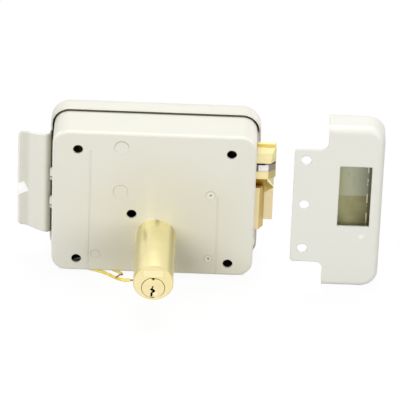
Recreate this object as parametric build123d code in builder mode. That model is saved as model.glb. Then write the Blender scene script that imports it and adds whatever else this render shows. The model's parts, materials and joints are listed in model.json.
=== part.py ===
from build123d import *
import os
from math import atan2, cos, degrees, pi, radians, sin, sqrt, tan

# Electric rim lock with its strike box, in millimetres.
# The origin is on the outer cylinder's axis, at the case's door-side face.
# +X points the way the latch shoots, +Y into the lock, away from the door, and +Z up.

# Case tray, the shell that lies against the door
case_width = 126.3
case_height = 101.4
case_x = -2.15
case_z = 23.35
case_wall_depth = 33.0
case_corner = 9.8
case_edge = 1.8
case_sheet = 1.5

# Cover, a shallow lid tray that slips over the case's wall
cover_gap = 1.2
cover_sheet = 1.0
cover_start = 25.2
lock_depth = 41.0
cover_edge = 8.0

# Edges of the case and cover
case_left = case_x - case_width / 2
case_right = case_x + case_width / 2
case_bottom = case_z - case_height / 2
case_top = case_z + case_height / 2
overhang = cover_gap + cover_sheet
floor_z = case_bottom - overhang

# Fixing holes through the case's face
fix_x = case_x + 0.15
fix_z = case_z - 1.85
fix_pitch_x = 95.0
fix_pitch_z = 80.0
fix_hole = 6.2
centre_fix_x = -15.5
centre_fix_z = 15.8

# Pressed crease lines beside the mechanism
crease_width = 0.8
crease_depth = 0.25
left_crease_x = -41.6
left_crease_top = 61.0
right_crease_x = 38.0
right_crease_top = 30.0

# Clearances
slide_gap = 0.3
running_gap = 0.05
screw_gap = 0.05
rivet_gap = 0.05
rivet_proud = 0.15
passing_gap = 0.5

# Outer cylinder with its plug set low
cylinder_diameter = 24.8
cylinder_reach = 53.3
cylinder_chamfer = 0.3
plug_diameter = 14.2
plug_chamfer = 0.25
plug_drop = 3.7
plug_proud = 0.3
plug_tail_diameter = 8.0
keyway_depth = 28.0
notch_depth = 1.2
stamp_width = 12.6
stamp_height = 5.0
stamp_z = 6.8
stamp_depth = 0.2
cylinder_screw_diameter = 4.0
cylinder_screw_x = 8.6
cylinder_screw_z = 5.0
cylinder_screw_length = 12.0
cylinder_screw_head = 7.0
cylinder_screw_head_height = 2.4

# Latch
latch_near = 9.5
latch_far = 19.0
latch_top = 60.3
latch_block_bottom = 39.0
latch_tip = case_right + 12.2
latch_crease = case_right + 7.6
latch_crease_top = case_right + 9.9
latch_bevel_depth = 3.8
latch_rear = case_right - 9.5
latch_top_rear = case_right + 0.2
latch_cut_z = 55.0
latch_chamfer = 2.5
latch_corner = 1.6
tongue_near = 14.5
tongue_tip = case_right + 11.3
tongue_bottom = 6.6
gusset_start = case_right + 7.3
gusset_drop = 12.0
gusset_proud = 1.5
latch_travel = 10.5
insert_bottom = 44.4
insert_height = 4.9
insert_slot_height = 6.0
insert_depth = 5.0
insert_recess = 0.25

# Latch slide, the steel plate that carries the latch
slide_thickness = 2.0
slide_top = 36.0
slide_bottom = 0.0
slide_left = 10.0
slide_neck = case_right - 15.0
slide_neck_top = 55.0
slide_right = case_right - 3.0
fork_left = -1.6
fork_bottom = -3.0
fork_top = 11.0
catch_tooth_width = 10.0
catch_notch_width = 6.0
catch_notch_depth = 5.0
latch_rivet_diameter = 4.0
latch_rivet_head = 6.0
latch_rivet_head_height = 1.0
latch_rivet_depth = 3.0
latch_rivet_x = case_right - 6.2
latch_rivet_heights = (13.0, 29.5, 50.0)

# Key drive: the plug's tail turns a cam whose pin sits in the slide's fork
key_turn = 75.0
cam_pin_diameter = 4.0
cam_thickness = 3.0
cam_hub_diameter = 13.0
cam_end_diameter = 7.0
cam_gap = 1.0
cam_pin_reach = 0.6

# Cocking bolt, the flat strip in front of the tongue
cocking_tip = case_right + 5.7
cocking_crease = case_right + 2.8
cocking_bottom = 2.0
cocking_top = 32.5
cocking_rear = case_right - 19.5
cocking_tail_rear = case_right - 39.0
cocking_tail_bottom = 8.0
cocking_tail_top = 18.0
cocking_travel = 4.9
cocking_relief_depth = 1.8
cocking_relief_drop = 5.4

# Posts riveted into the case's face: place and shown diameter
upper_post_x = -22.5
upper_post_z = case_top - 10.25
pivot_post_x = case_left + 42.7
pivot_post_z = 32.0
large_rivet = 8.9
terminal_post_x = -37.5
terminal_post_z = case_bottom + 12.85
terminal_rivet = 5.6
guide_post_x = 33.4
guide_post_z = 31.3
guide_rivet = 6.4
lower_post_x = 33.2
lower_post_z = case_bottom + 12.15
lower_rivet = 4.7
cover_post_diameter = 7.0
guide_rivet_dot = 2.6
lower_rivet_dot = 1.8
rivet_dot_depth = 0.5

# Catch lever and solenoid
pivot_pin_diameter = 6.0
lever_thickness = 2.0
lever_arm = 12.0
lever_arm_width = 5.0
lever_arm_top = 3.4
lever_hook_x = 14.0
lever_hook_width = 4.0
lever_hub_diameter = 13.0
lever_clip_thickness = 1.0
plunger_travel = 2.4
plunger_diameter = 9.0
plunger_head = 4.0
plunger_spare = 1.0
plunger_fork = 4.0
plunger_pin_diameter = 2.5
plunger_pin_length = 8.0
yoke_length = 26.0
yoke_height = 22.0
yoke_sheet = 2.0
yoke_left = case_left + 4.8
bobbin_flange_diameter = 21.0
bobbin_flange = 1.4
bobbin_wall = 1.0
coil_diameter = 19.0
core_length = 8.0
plunger_collar_diameter = 12.0
plunger_collar_thickness = 1.0

# Springs
spring_wall = 0.8
latch_spring_diameter = 6.5
latch_spring_z = 25.0
spring_bracket_x = -8.5
spring_bracket_height = 10.0
spring_bracket_sheet = 1.5
cocking_spring_diameter = 4.2
cocking_spring_length = 9.0
plunger_spring_diameter = 11.0

# Release button in the cover
button_x = 14.0
button_z = 42.0
button_diameter = 12.0
button_proud = 3.5
button_travel = 4.0
button_head_length = 7.5
button_stem_diameter = 6.0
bush_flange_diameter = 20.0
bush_flange = 2.0
bush_diameter = 15.8
bush_length = 10.0
bush_lip = 1.5
nut_width = 21.0
nut_thickness = 3.0
button_clip_diameter = 9.0
button_clip_thickness = 1.0

# Pull wing at the side opposite the latch
wing_height = 71.4
wing_outer_height = 68.0
wing_z = case_z - 0.8
wing_corner = 3.0
wing_length = 22.6
wing_outer_y = 27.4
wing_forward = 6.2
wing_side_gap = 1.2
wing_flange_end = 10.0
wing_screw_depth = 16.0
wing_screw_heights = (wing_z - 9.75, wing_z + 10.95)
wing_screw_diameter = 4.0
wing_screw_head = 8.0
wing_screw_head_height = 2.0
wing_screw_length = 4.4
screw_slot_width = 1.1
screw_slot_depth = 0.9

# Cover screws
cover_screw_diameter = 4.0
cover_screw_head = 8.0
cover_screw_head_height = 2.2
cover_screw_length = 9.0

# Terminal block and lead wires
terminal_width = 11.5
terminal_height = 11.0
terminal_depth = 9.0
terminal_x = -37.3
terminal_bottom = case_bottom + 15.35
terminal_stand = 6.0
terminal_ear = 2.0
terminal_screw_diameter = 3.0
terminal_screw_pitch = 6.3
wire_diameter = 1.9
wire_slot_left = -52.0
wire_slot_right = -28.0
wire_slot_near = 4.8
wire_slot_far = 13.0
conductor_diameter = 0.9

# Strike box, lying beside the lock
strike_sheet = 1.5
strike_near = -4.6
strike_depth = 16.0
flange_left = 84.2
strike_left = 104.7
strike_right = 139.6
strike_bottom = floor_z
strike_top = 86.2
flange_bottom = -11.4
flange_top = 69.7
flange_corner = 2.0
flange_inner_corner = 5.0
strike_corner = 11.0
strike_small_corner = 2.5
strike_edge = 4.1
strike_hole = 6.6
strike_hole_x = 91.5
strike_hole_z = 30.2
strike_hole_pitch = 32.1
window_left = 112.5
window_right = 132.4
window_bottom = 15.5
window_top = 58.9
liner_sheet = 1.0
liner_depth = 7.5
liner_margin = 3.0
liner_drop = 9.0
liner_slope = 1.6
liner_bend_z = 33.2

# Worked out from the sizes above
cover_inside = lock_depth - cover_sheet
slide_near = latch_far
slide_far = slide_near + slide_thickness
half_turn = radians(key_turn / 2)
cam_reach = latch_travel / (2 * sin(half_turn))
cam_pin_x = cam_reach * sin(half_turn)
cam_pin_z = -plug_drop + cam_reach * cos(half_turn)
cam_far = slide_near - cam_gap
cam_near = cam_far - cam_thickness
plunger_z = pivot_post_z + lever_arm
plunger_y = slide_near + lever_thickness / 2
plunger_x = pivot_post_x
cocking_far = tongue_near - 0.4
wire_radius = wire_diameter / 2
wire_z = floor_z + wire_radius


# A sketch plane at a given depth into the lock: local x is X, local y is Z,
# and a negative extrusion goes deeper.
def plane_at(depth):
    return Plane.XZ.offset(-depth)


def save(piece, name):
    piece.part.label = name
    export_step(piece.part, f"parts/{name}.step")


os.makedirs("parts", exist_ok=True)

posts = {
    "upper_cover_post": (upper_post_x, upper_post_z, large_rivet),
    "pivot_post": (pivot_post_x, pivot_post_z, large_rivet),
    "terminal_post": (terminal_post_x, terminal_post_z, terminal_rivet),
    "guide_post": (guide_post_x, guide_post_z, guide_rivet),
    "lower_cover_post": (lower_post_x, lower_post_z, lower_rivet),
}

# Back case: a drawn tray with its open side towards the cover
with BuildPart() as back_case:
    with BuildSketch(plane_at(0)):
        with Locations((case_x, case_z)):
            RectangleRounded(case_width, case_height, case_corner)
    extrude(amount=-case_wall_depth)
    fillet(faces().sort_by(Axis.Y)[0].edges(), case_edge)
    offset(amount=-case_sheet, openings=faces().sort_by(Axis.Y)[-1])
    # fixing holes, rivet holes, and the holes behind the cylinder
    with BuildSketch(plane_at(-1)):
        with Locations((fix_x, fix_z)):
            with GridLocations(fix_pitch_x, fix_pitch_z, 2, 2):
                Circle(fix_hole / 2)
        with Locations((centre_fix_x, centre_fix_z)):
            Circle(fix_hole / 2)
        for post_x, post_z, rivet in posts.values():
            with Locations((post_x, post_z)):
                Circle(rivet / 2 + rivet_gap)
        with Locations((0, -plug_drop)):
            Circle(plug_tail_diameter / 2 + passing_gap)
        with Locations((-cylinder_screw_x, cylinder_screw_z), (cylinder_screw_x, cylinder_screw_z)):
            Circle(cylinder_screw_diameter / 2 + slide_gap)
    extrude(amount=-(case_sheet + 2), mode=Mode.SUBTRACT)
    # pressed crease lines
    for crease_x, crease_top in ((left_crease_x, left_crease_top), (right_crease_x, right_crease_top)):
        crease_bottom = case_bottom + case_edge
        with BuildSketch(plane_at(0)):
            with Locations((crease_x, (crease_top + crease_bottom) / 2)):
                Rectangle(crease_width, crease_top - crease_bottom)
        extrude(amount=-crease_depth, mode=Mode.SUBTRACT)
    # latch window in the right wall
    with BuildSketch(Plane.YZ.offset(case_right - case_sheet - 1)):
        with Locations(((latch_near + latch_far) / 2, (latch_top + cocking_bottom) / 2)):
            Rectangle(latch_far - latch_near + 2 * passing_gap, latch_top - cocking_bottom + 2 * passing_gap)
    extrude(amount=case_sheet + 2, mode=Mode.SUBTRACT)
    # screw holes for the pull wing in the left wall
    with BuildSketch(Plane.YZ.offset(case_left - 1)):
        for height in wing_screw_heights:
            with Locations((wing_screw_depth, height)):
                Circle(wing_screw_diameter / 2 + slide_gap)
    extrude(amount=case_sheet + 2, mode=Mode.SUBTRACT)
    # low stretch of the left wall, where the wing crosses it
    with BuildSketch(Plane.YZ.offset(case_left - 1)):
        with Locations(((case_wall_depth + cover_start) / 2, wing_z)):
            Rectangle(case_wall_depth - cover_start + 1, wing_height + 2)
    extrude(amount=case_sheet + 2, mode=Mode.SUBTRACT)
    # wire slot in the bottom wall
    with BuildSketch(Plane.XY.offset(case_bottom - 1)):
        with Locations(((wire_slot_left + wire_slot_right) / 2, (wire_slot_near + wire_slot_far) / 2)):
            SlotOverall(wire_slot_right - wire_slot_left, wire_slot_far - wire_slot_near)
    extrude(amount=case_sheet + 2, mode=Mode.SUBTRACT)
save(back_case, "back_case")

# Cover: the lid tray, which stands a little prouder than the case all round
with BuildPart() as cover:
    with BuildSketch(plane_at(cover_start)):
        with Locations((case_x, case_z)):
            RectangleRounded(
                case_width + 2 * overhang, case_height + 2 * overhang, case_corner + overhang
            )
    extrude(amount=-(lock_depth - cover_start))
    fillet(faces().sort_by(Axis.Y)[-1].edges(), cover_edge)
    offset(amount=-cover_sheet, openings=faces().sort_by(Axis.Y)[0])
    with BuildSketch(plane_at(cover_inside - 1)):
        with Locations((button_x, button_z)):
            Circle(bush_diameter / 2 + slide_gap)
        with Locations((upper_post_x, upper_post_z), (lower_post_x, lower_post_z)):
            Circle(cover_screw_diameter / 2 + slide_gap)
    extrude(amount=-(cover_sheet + 2), mode=Mode.SUBTRACT)
    # low stretch of the left wall, over the wing
    with BuildSketch(Plane.YZ.offset(case_left - overhang - 1)):
        with Locations((cover_start + 1, wing_z)):
            Rectangle(3 + 2 * slide_gap, wing_height + 2)
    extrude(amount=cover_sheet + 2, mode=Mode.SUBTRACT)
save(cover, "cover")

# Cover screws, pan heads with a slot
with BuildPart() as cover_screws:
    with BuildSketch(plane_at(lock_depth)):
        with Locations((upper_post_x, upper_post_z), (lower_post_x, lower_post_z)):
            Circle(cover_screw_head / 2)
    extrude(amount=-cover_screw_head_height)
    fillet(faces().group_by(Axis.Y)[-1].edges(), cover_screw_head_height / 2)
    with BuildSketch(plane_at(lock_depth + cover_screw_head_height)):
        with Locations((upper_post_x, upper_post_z), (lower_post_x, lower_post_z)):
            Rectangle(cover_screw_head, screw_slot_width)
    extrude(amount=screw_slot_depth, mode=Mode.SUBTRACT)
    with BuildSketch(plane_at(lock_depth)):
        with Locations((upper_post_x, upper_post_z), (lower_post_x, lower_post_z)):
            Circle(cover_screw_diameter / 2)
    extrude(amount=cover_screw_length)
save(cover_screws, "cover_screws")

# Pull wing: one bent sheet from its outer edge, over the case's rim, to a flange inside
wing_reach = case_left - wing_length
wing_side_x = case_left - wing_side_gap - case_sheet / 2
wing_inner_x = case_left + case_sheet + slide_gap + case_sheet / 2
wing_cross_y = cover_start + slide_gap + case_sheet / 2
with BuildPart() as pull_wing:
    with BuildSketch(Plane.XY.offset(wing_z - wing_height / 2)):
        with BuildLine():
            FilletPolyline(
                (wing_reach, wing_outer_y),
                (wing_reach + wing_length * 0.24, wing_outer_y - 0.1),
                (wing_reach + wing_length * 0.57, wing_outer_y - wing_forward * 0.66),
                (wing_side_x, wing_outer_y - wing_forward),
                (wing_side_x + 0.02, wing_cross_y),
                (wing_inner_x, wing_cross_y + 0.02),
                (wing_inner_x + 0.02, wing_flange_end),
                radius=[8, 8, 2.6, 1.1, 1.6],
            )
            offset(amount=case_sheet / 2, side=Side.BOTH)
        make_face()
    extrude(amount=wing_height)
    # outer edge a little lower than the root, with rounded corners
    with BuildSketch(plane_at(0)):
        with BuildLine():
            Polyline(
                (wing_reach, wing_z - wing_outer_height / 2),
                (wing_reach + wing_length * 0.25, wing_z - wing_outer_height / 2),
                (wing_side_x - 2, wing_z - wing_height / 2),
                (wing_inner_x + case_sheet, wing_z - wing_height / 2),
                (wing_inner_x + case_sheet, wing_z + wing_height / 2),
                (wing_side_x - 2, wing_z + wing_height / 2),
                (wing_reach + wing_length * 0.25, wing_z + wing_outer_height / 2),
                (wing_reach, wing_z + wing_outer_height / 2),
                close=True,
            )
        make_face()
        fillet(vertices().group_by(Axis.X)[0], wing_corner)
    extrude(amount=-lock_depth, mode=Mode.INTERSECT)
    with BuildSketch(Plane.YZ.offset(wing_inner_x - case_sheet)):
        for height in wing_screw_heights:
            with Locations((wing_screw_depth, height)):
                Circle(wing_screw_diameter / 2 + screw_gap)
    extrude(amount=2 * case_sheet, mode=Mode.SUBTRACT)
save(pull_wing, "pull_wing")

# Wing screws, driven from outside the left wall
with BuildPart() as wing_screws:
    with BuildSketch(Plane.YZ.offset(case_left)):
        for height in wing_screw_heights:
            with Locations((wing_screw_depth, height)):
                Circle(wing_screw_head / 2)
    extrude(amount=-wing_screw_head_height)
    fillet(faces().group_by(Axis.X)[0].edges(), wing_screw_head_height / 2)
    with BuildSketch(Plane.YZ.offset(case_left - wing_screw_head_height)):
        for height in wing_screw_heights:
            with Locations((wing_screw_depth, height)):
                Rectangle(wing_screw_head, screw_slot_width, rotation=35)
    extrude(amount=screw_slot_depth, mode=Mode.SUBTRACT)
    with BuildSketch(Plane.YZ.offset(case_left)):
        for height in wing_screw_heights:
            with Locations((wing_screw_depth, height)):
                Circle(wing_screw_diameter / 2)
    extrude(amount=wing_screw_length)
save(wing_screws, "wing_screws")

# Outer cylinder: the long brass barrel, with its plug's bore low in it
with BuildPart() as cylinder_body:
    with BuildSketch(plane_at(0)):
        Circle(cylinder_diameter / 2)
    extrude(amount=cylinder_reach)
    chamfer(faces().sort_by(Axis.Y)[0].edges(), cylinder_chamfer)
    with BuildSketch(plane_at(0)):
        with Locations((0, -plug_drop)):
            Circle(plug_diameter / 2 + running_gap)
    extrude(amount=cylinder_reach, mode=Mode.SUBTRACT)
    chamfer(faces().sort_by(Axis.Y)[0].inner_wires()[0].edges(), plug_chamfer)
    with BuildSketch(plane_at(-cylinder_reach)):
        with Locations((0, stamp_z)):
            RectangleRounded(stamp_width, stamp_height, 0.8)
    extrude(amount=-stamp_depth, mode=Mode.SUBTRACT)
    with BuildSketch(plane_at(0)):
        with Locations((-cylinder_screw_x, cylinder_screw_z), (cylinder_screw_x, cylinder_screw_z)):
            Circle(cylinder_screw_diameter / 2 + screw_gap)
    extrude(amount=cylinder_screw_length, mode=Mode.SUBTRACT)
save(cylinder_body, "cylinder_body")

# Cylinder screws, from inside the case into the barrel
with BuildPart() as cylinder_screws:
    with BuildSketch(plane_at(case_sheet)):
        with Locations((-cylinder_screw_x, cylinder_screw_z), (cylinder_screw_x, cylinder_screw_z)):
            Circle(cylinder_screw_head / 2)
    extrude(amount=-cylinder_screw_head_height)
    with BuildSketch(plane_at(case_sheet + cylinder_screw_head_height)):
        with Locations((-cylinder_screw_x, cylinder_screw_z), (cylinder_screw_x, cylinder_screw_z)):
            Rectangle(screw_slot_width, cylinder_screw_head)
    extrude(amount=screw_slot_depth, mode=Mode.SUBTRACT)
    with BuildSketch(plane_at(case_sheet)):
        with Locations((-cylinder_screw_x, cylinder_screw_z), (cylinder_screw_x, cylinder_screw_z)):
            Circle(cylinder_screw_diameter / 2)
    extrude(amount=case_sheet + cylinder_screw_length - 1)
save(cylinder_screws, "cylinder_screws")

# Plug: turns in the barrel, with a keyway of stepped wards in its face
keyway_outline = (
    (-0.4, 1.6), (0.5, 1.6), (-0.2, -0.1), (1.3, -1.4), (1.3, -2.4), (-0.2, -3.7), (-0.3, -6.0),
    (-1.5, -6.0), (-1.5, -3.3), (-0.6, -2.4), (-0.6, -2.0), (-1.8, -1.1), (-1.7, -0.5), (-1.1, -0.1),
)
with BuildPart() as cylinder_plug:
    with BuildSketch(plane_at(-cylinder_reach - plug_proud)):
        with Locations((0, -plug_drop)):
            Circle(plug_diameter / 2)
    extrude(amount=-(cylinder_reach + plug_proud - slide_gap))
    chamfer(faces().sort_by(Axis.Y)[0].edges(), plug_chamfer)
    with BuildSketch(plane_at(-cylinder_reach - plug_proud)):
        with Locations((0, -plug_drop)):
            Polygon(*keyway_outline, align=None)
        with Locations((-0.4, -plug_drop - plug_diameter / 2 + 0.3)):
            Rectangle(2.7, 1.0)
    extrude(amount=-keyway_depth, mode=Mode.SUBTRACT)
    with BuildSketch(plane_at(-cylinder_reach - plug_proud)):
        with Locations((0, -plug_drop + plug_diameter / 2)):
            Polygon((-1.25, 0.3), (1.25, 0.3), (0, -1.3), align=None)
    extrude(amount=-notch_depth, mode=Mode.SUBTRACT)
save(cylinder_plug, "cylinder_plug")

# Tail of the plug: a round shaft through the case's face to the cam
with BuildPart() as plug_tail:
    with BuildSketch(plane_at(-slide_gap)):
        with Locations((0, -plug_drop)):
            Circle(plug_tail_diameter / 2)
    extrude(amount=-(cam_far + slide_gap))
    with BuildSketch(plane_at(cam_near)):
        with Locations((0, -plug_drop)):
            Rectangle(plug_tail_diameter, plug_tail_diameter)
            Rectangle(plug_tail_diameter, plug_tail_diameter * 0.7, mode=Mode.SUBTRACT)
    extrude(amount=-cam_thickness, mode=Mode.SUBTRACT)
save(plug_tail, "plug_tail")

# Cam with its drive pin, leaning towards the latch at rest
with BuildPart() as cam_arm:
    with BuildSketch(plane_at(cam_near)):
        with BuildLine():
            hub = CenterArc((0, -plug_drop), cam_hub_diameter / 2, 0, 360)
        make_face()
        with BuildLine():
            end = CenterArc((cam_pin_x, cam_pin_z), cam_end_diameter / 2, 0, 360)
        make_face()
        make_hull()
        with Locations((0, -plug_drop)):
            Circle(plug_tail_diameter / 2 + rivet_gap, mode=Mode.SUBTRACT)
    extrude(amount=-cam_thickness)
    with BuildSketch(plane_at(cam_near)):
        with Locations((0, -plug_drop)):
            Circle(plug_tail_diameter / 2 + 0.3)
            Rectangle(plug_tail_diameter * 2, plug_tail_diameter * 0.7 + 2 * rivet_gap, mode=Mode.SUBTRACT)
    extrude(amount=-cam_thickness)
    with BuildSketch(plane_at(cam_far)):
        with Locations((cam_pin_x, cam_pin_z)):
            Circle(cam_pin_diameter / 2)
    extrude(amount=-(cam_gap + slide_thickness + cam_pin_reach))
save(cam_arm, "cam_arm")

# Gusset under the latch's block: a slanted wedge, its upper outer corner cut off by a second slant
with BuildPart() as latch_gusset:
    with BuildSketch(Plane.YZ.offset(gusset_start)):
        Polygon(
            (latch_near + gusset_proud, latch_block_bottom),
            (tongue_near, latch_block_bottom - gusset_drop),
            (tongue_near + 1, latch_block_bottom - gusset_drop),
            (tongue_near + 1, latch_block_bottom),
            align=None,
        )
    extrude(amount=tongue_tip - gusset_start)
    near_corner = Vector(gusset_start, latch_near + gusset_proud, latch_block_bottom)
    far_corner = Vector(tongue_tip, tongue_near - 0.3, latch_block_bottom)
    slant_share = 0.5
    low_corner = Vector(
        tongue_tip,
        latch_near + gusset_proud + slant_share * (tongue_near - latch_near - gusset_proud),
        latch_block_bottom - slant_share * gusset_drop,
    )
    slant = (low_corner - near_corner).cross(far_corner - near_corner).normalized()
    if slant.Y > 0:
        slant = slant * -1
    split(bisect_by=Plane(origin=near_corner, z_dir=slant), keep=Keep.BOTTOM)

# Latch: a bevelled brass block over a thinner tongue, with the gusset between them
with BuildPart() as latch_bolt:
    with BuildSketch(Plane.XY.offset(latch_block_bottom)):
        with BuildLine():
            Polyline(
                (latch_rear, latch_near),
                (latch_crease, latch_near),
                (latch_tip, latch_near + latch_bevel_depth),
                (latch_tip, latch_far),
                (latch_rear, latch_far),
                close=True,
            )
        make_face()
    extrude(amount=insert_bottom + insert_slot_height - latch_block_bottom)
    # above the insert the bevel's crease stands nearer the tip, and leans a little
    for height, crease in (
        (insert_bottom + insert_slot_height, latch_crease_top - 0.8),
        (latch_top, latch_crease_top),
    ):
        with BuildSketch(Plane.XY.offset(height)):
            Polygon(
                (latch_rear, latch_near),
                (crease, latch_near),
                (latch_tip, latch_near + latch_bevel_depth),
                (latch_tip, latch_far),
                (latch_rear, latch_far),
                align=None,
            )
    loft(ruled=True)
    near_top = edges().filter_by(Axis.X).group_by(Axis.Z)[-1].sort_by(Axis.Y)[0]
    chamfer(near_top, latch_chamfer)
    # outer top corner rounded
    with BuildSketch(plane_at(latch_near)):
        with Locations((latch_tip, latch_top)):
            Rectangle(2 * latch_corner, 2 * latch_corner)
        with Locations((latch_tip - latch_corner, latch_top - latch_corner)):
            Circle(latch_corner, mode=Mode.SUBTRACT)
    extrude(amount=-(latch_far - latch_near), mode=Mode.SUBTRACT)
    with BuildSketch(Plane.XY.offset(tongue_bottom)):
        with Locations(((latch_rear + tongue_tip) / 2, (tongue_near + latch_far) / 2)):
            Rectangle(tongue_tip - latch_rear, latch_far - tongue_near)
    extrude(amount=latch_block_bottom - tongue_bottom)
    add(latch_gusset.part)
    # slot for the steel insert across the near face and the bevel
    with BuildSketch(plane_at(latch_near)):
        with Locations(((latch_rear + latch_tip) / 2, insert_bottom + insert_slot_height / 2)):
            Rectangle(latch_tip - latch_rear + 2, insert_slot_height)
    extrude(amount=-insert_depth, mode=Mode.SUBTRACT)
    # top rear corner cut away, clear of the fixing screw behind it
    with BuildSketch(plane_at(latch_near)):
        with Locations(((latch_rear + latch_top_rear) / 2 - 1, (latch_cut_z + latch_top) / 2 + 1)):
            Rectangle(latch_top_rear - latch_rear + 2, latch_top - latch_cut_z + 2)
    extrude(amount=-(latch_far - latch_near), mode=Mode.SUBTRACT)
    # holes for the rivets that join the slide plate
    with BuildSketch(plane_at(latch_far)):
        for height in latch_rivet_heights:
            with Locations((latch_rivet_x, height)):
                Circle(latch_rivet_diameter / 2 + rivet_gap)
    extrude(amount=latch_rivet_depth, mode=Mode.SUBTRACT)
save(latch_bolt, "latch_bolt")

# Steel insert in the latch, with a bowed upper edge
with BuildPart() as latch_insert:
    with BuildSketch(Plane.XY.offset(insert_bottom)):
        with BuildLine():
            Polyline(
                (latch_rear, latch_near + insert_recess),
                (latch_crease, latch_near + insert_recess),
                (latch_tip - insert_recess, latch_near + latch_bevel_depth),
                (latch_tip - insert_recess, latch_near + insert_depth),
                (latch_rear, latch_near + insert_depth),
                close=True,
            )
        make_face()
    extrude(amount=insert_slot_height)
    with BuildSketch(plane_at(latch_near)):
        with BuildLine():
            ThreePointArc(
                (latch_rear, insert_bottom + insert_slot_height),
                (latch_rear * 0.45 + latch_tip * 0.55, insert_bottom + insert_height - 0.2),
                (latch_tip, insert_bottom + insert_slot_height - 0.1),
            )
            Polyline(
                (latch_tip, insert_bottom + insert_slot_height - 0.1),
                (latch_tip, latch_top),
                (latch_rear, latch_top),
                (latch_rear, insert_bottom + insert_slot_height),
            )
        make_face()
    extrude(amount=-(latch_far - latch_near), mode=Mode.SUBTRACT)
save(latch_insert, "latch_insert")

# Latch slide: carries the latch, runs on the guide post, and is drawn by the cam's pin
tooth_right = slide_left + catch_tooth_width
notch_right = tooth_right + catch_notch_width
fork_slot = cam_pin_diameter + 2 * slide_gap
fork_slot_top = -plug_drop + cam_reach + cam_pin_diameter / 2 + slide_gap
guide_slot = pivot_pin_diameter + 2 * slide_gap
with BuildPart() as latch_slide:
    with BuildSketch(plane_at(slide_near)):
        with BuildLine():
            Polyline(
                (fork_left, fork_bottom),
                (fork_left, fork_top),
                (slide_left, fork_top),
                (slide_left, slide_top),
                (tooth_right, slide_top),
                (tooth_right, slide_top - catch_notch_depth),
                (notch_right, slide_top - catch_notch_depth),
                (notch_right, slide_top),
                (slide_neck, slide_top),
                (slide_neck, slide_neck_top),
                (slide_right, slide_neck_top),
                (slide_right, slide_bottom),
                (slide_left + 4, slide_bottom),
                (slide_left + 1, fork_bottom),
                close=True,
            )
        make_face()
        with Locations((cam_pin_x, (fork_bottom - 1 + fork_slot_top) / 2)):
            Rectangle(fork_slot, fork_slot_top - fork_bottom + 1, mode=Mode.SUBTRACT)
        with Locations((guide_post_x + latch_travel / 2, guide_post_z)):
            SlotOverall(latch_travel + guide_slot, guide_slot - 1, mode=Mode.SUBTRACT)
        for height in latch_rivet_heights:
            with Locations((latch_rivet_x, height)):
                Circle(latch_rivet_diameter / 2 + rivet_gap, mode=Mode.SUBTRACT)
    extrude(amount=-slide_thickness)
save(latch_slide, "latch_slide")

# Rivets that join the slide to the latch
with BuildPart() as latch_rivets:
    with BuildSketch(plane_at(slide_far)):
        for height in latch_rivet_heights:
            with Locations((latch_rivet_x, height)):
                Circle(latch_rivet_head / 2)
    extrude(amount=-latch_rivet_head_height)
    with BuildSketch(plane_at(slide_far)):
        for height in latch_rivet_heights:
            with Locations((latch_rivet_x, height)):
                Circle(latch_rivet_diameter / 2)
    extrude(amount=slide_thickness + latch_rivet_depth - slide_gap)
save(latch_rivets, "latch_rivets")

# Cocking bolt: a bevelled strip with a narrow tail
with BuildPart() as cocking_bolt:
    with BuildSketch(Plane.XY.offset(cocking_bottom)):
        with BuildLine():
            Polyline(
                (cocking_rear, latch_near),
                (cocking_crease, latch_near),
                (cocking_tip, cocking_far),
                (cocking_rear, cocking_far),
                close=True,
            )
        make_face()
    extrude(amount=cocking_top - cocking_bottom)
    # far top edge cut back, so that the latch's gusset passes it
    with BuildSketch(Plane.YZ.offset(cocking_rear)):
        with BuildLine():
            Polyline(
                (cocking_far, cocking_top),
                (cocking_far - cocking_relief_depth, cocking_top),
                (cocking_far, cocking_top - cocking_relief_drop),
                close=True,
            )
        make_face()
    extrude(amount=cocking_tip - cocking_rear, mode=Mode.SUBTRACT)
    with BuildSketch(Plane.XY.offset(cocking_tail_bottom)):
        with Locations(((cocking_rear + cocking_tail_rear) / 2, (latch_near + cocking_far) / 2)):
            Rectangle(cocking_rear - cocking_tail_rear, cocking_far - latch_near)
    extrude(amount=cocking_tail_top - cocking_tail_bottom)
save(cocking_bolt, "cocking_bolt")

# Guide bracket over the cocking bolt's tail
guide_near = latch_near - slide_gap
guide_left = cocking_rear - cocking_travel - 8
with BuildPart() as cocking_guide:
    with BuildSketch(Plane.YZ.offset(guide_left)):
        with Locations(
            ((case_sheet + cocking_far + slide_gap + 1.5) / 2, (cocking_tail_bottom + cocking_tail_top) / 2)
        ):
            Rectangle(
                cocking_far + slide_gap + 1.5 - case_sheet,
                cocking_tail_top - cocking_tail_bottom + 2 * slide_gap + 3,
            )
        with Locations(
            ((guide_near + cocking_far + slide_gap) / 2, (cocking_tail_bottom + cocking_tail_top) / 2)
        ):
            Rectangle(
                cocking_far - latch_near + 2 * slide_gap,
                cocking_tail_top - cocking_tail_bottom + 2 * slide_gap,
                mode=Mode.SUBTRACT,
            )
    extrude(amount=5)
save(cocking_guide, "cocking_guide")

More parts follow.
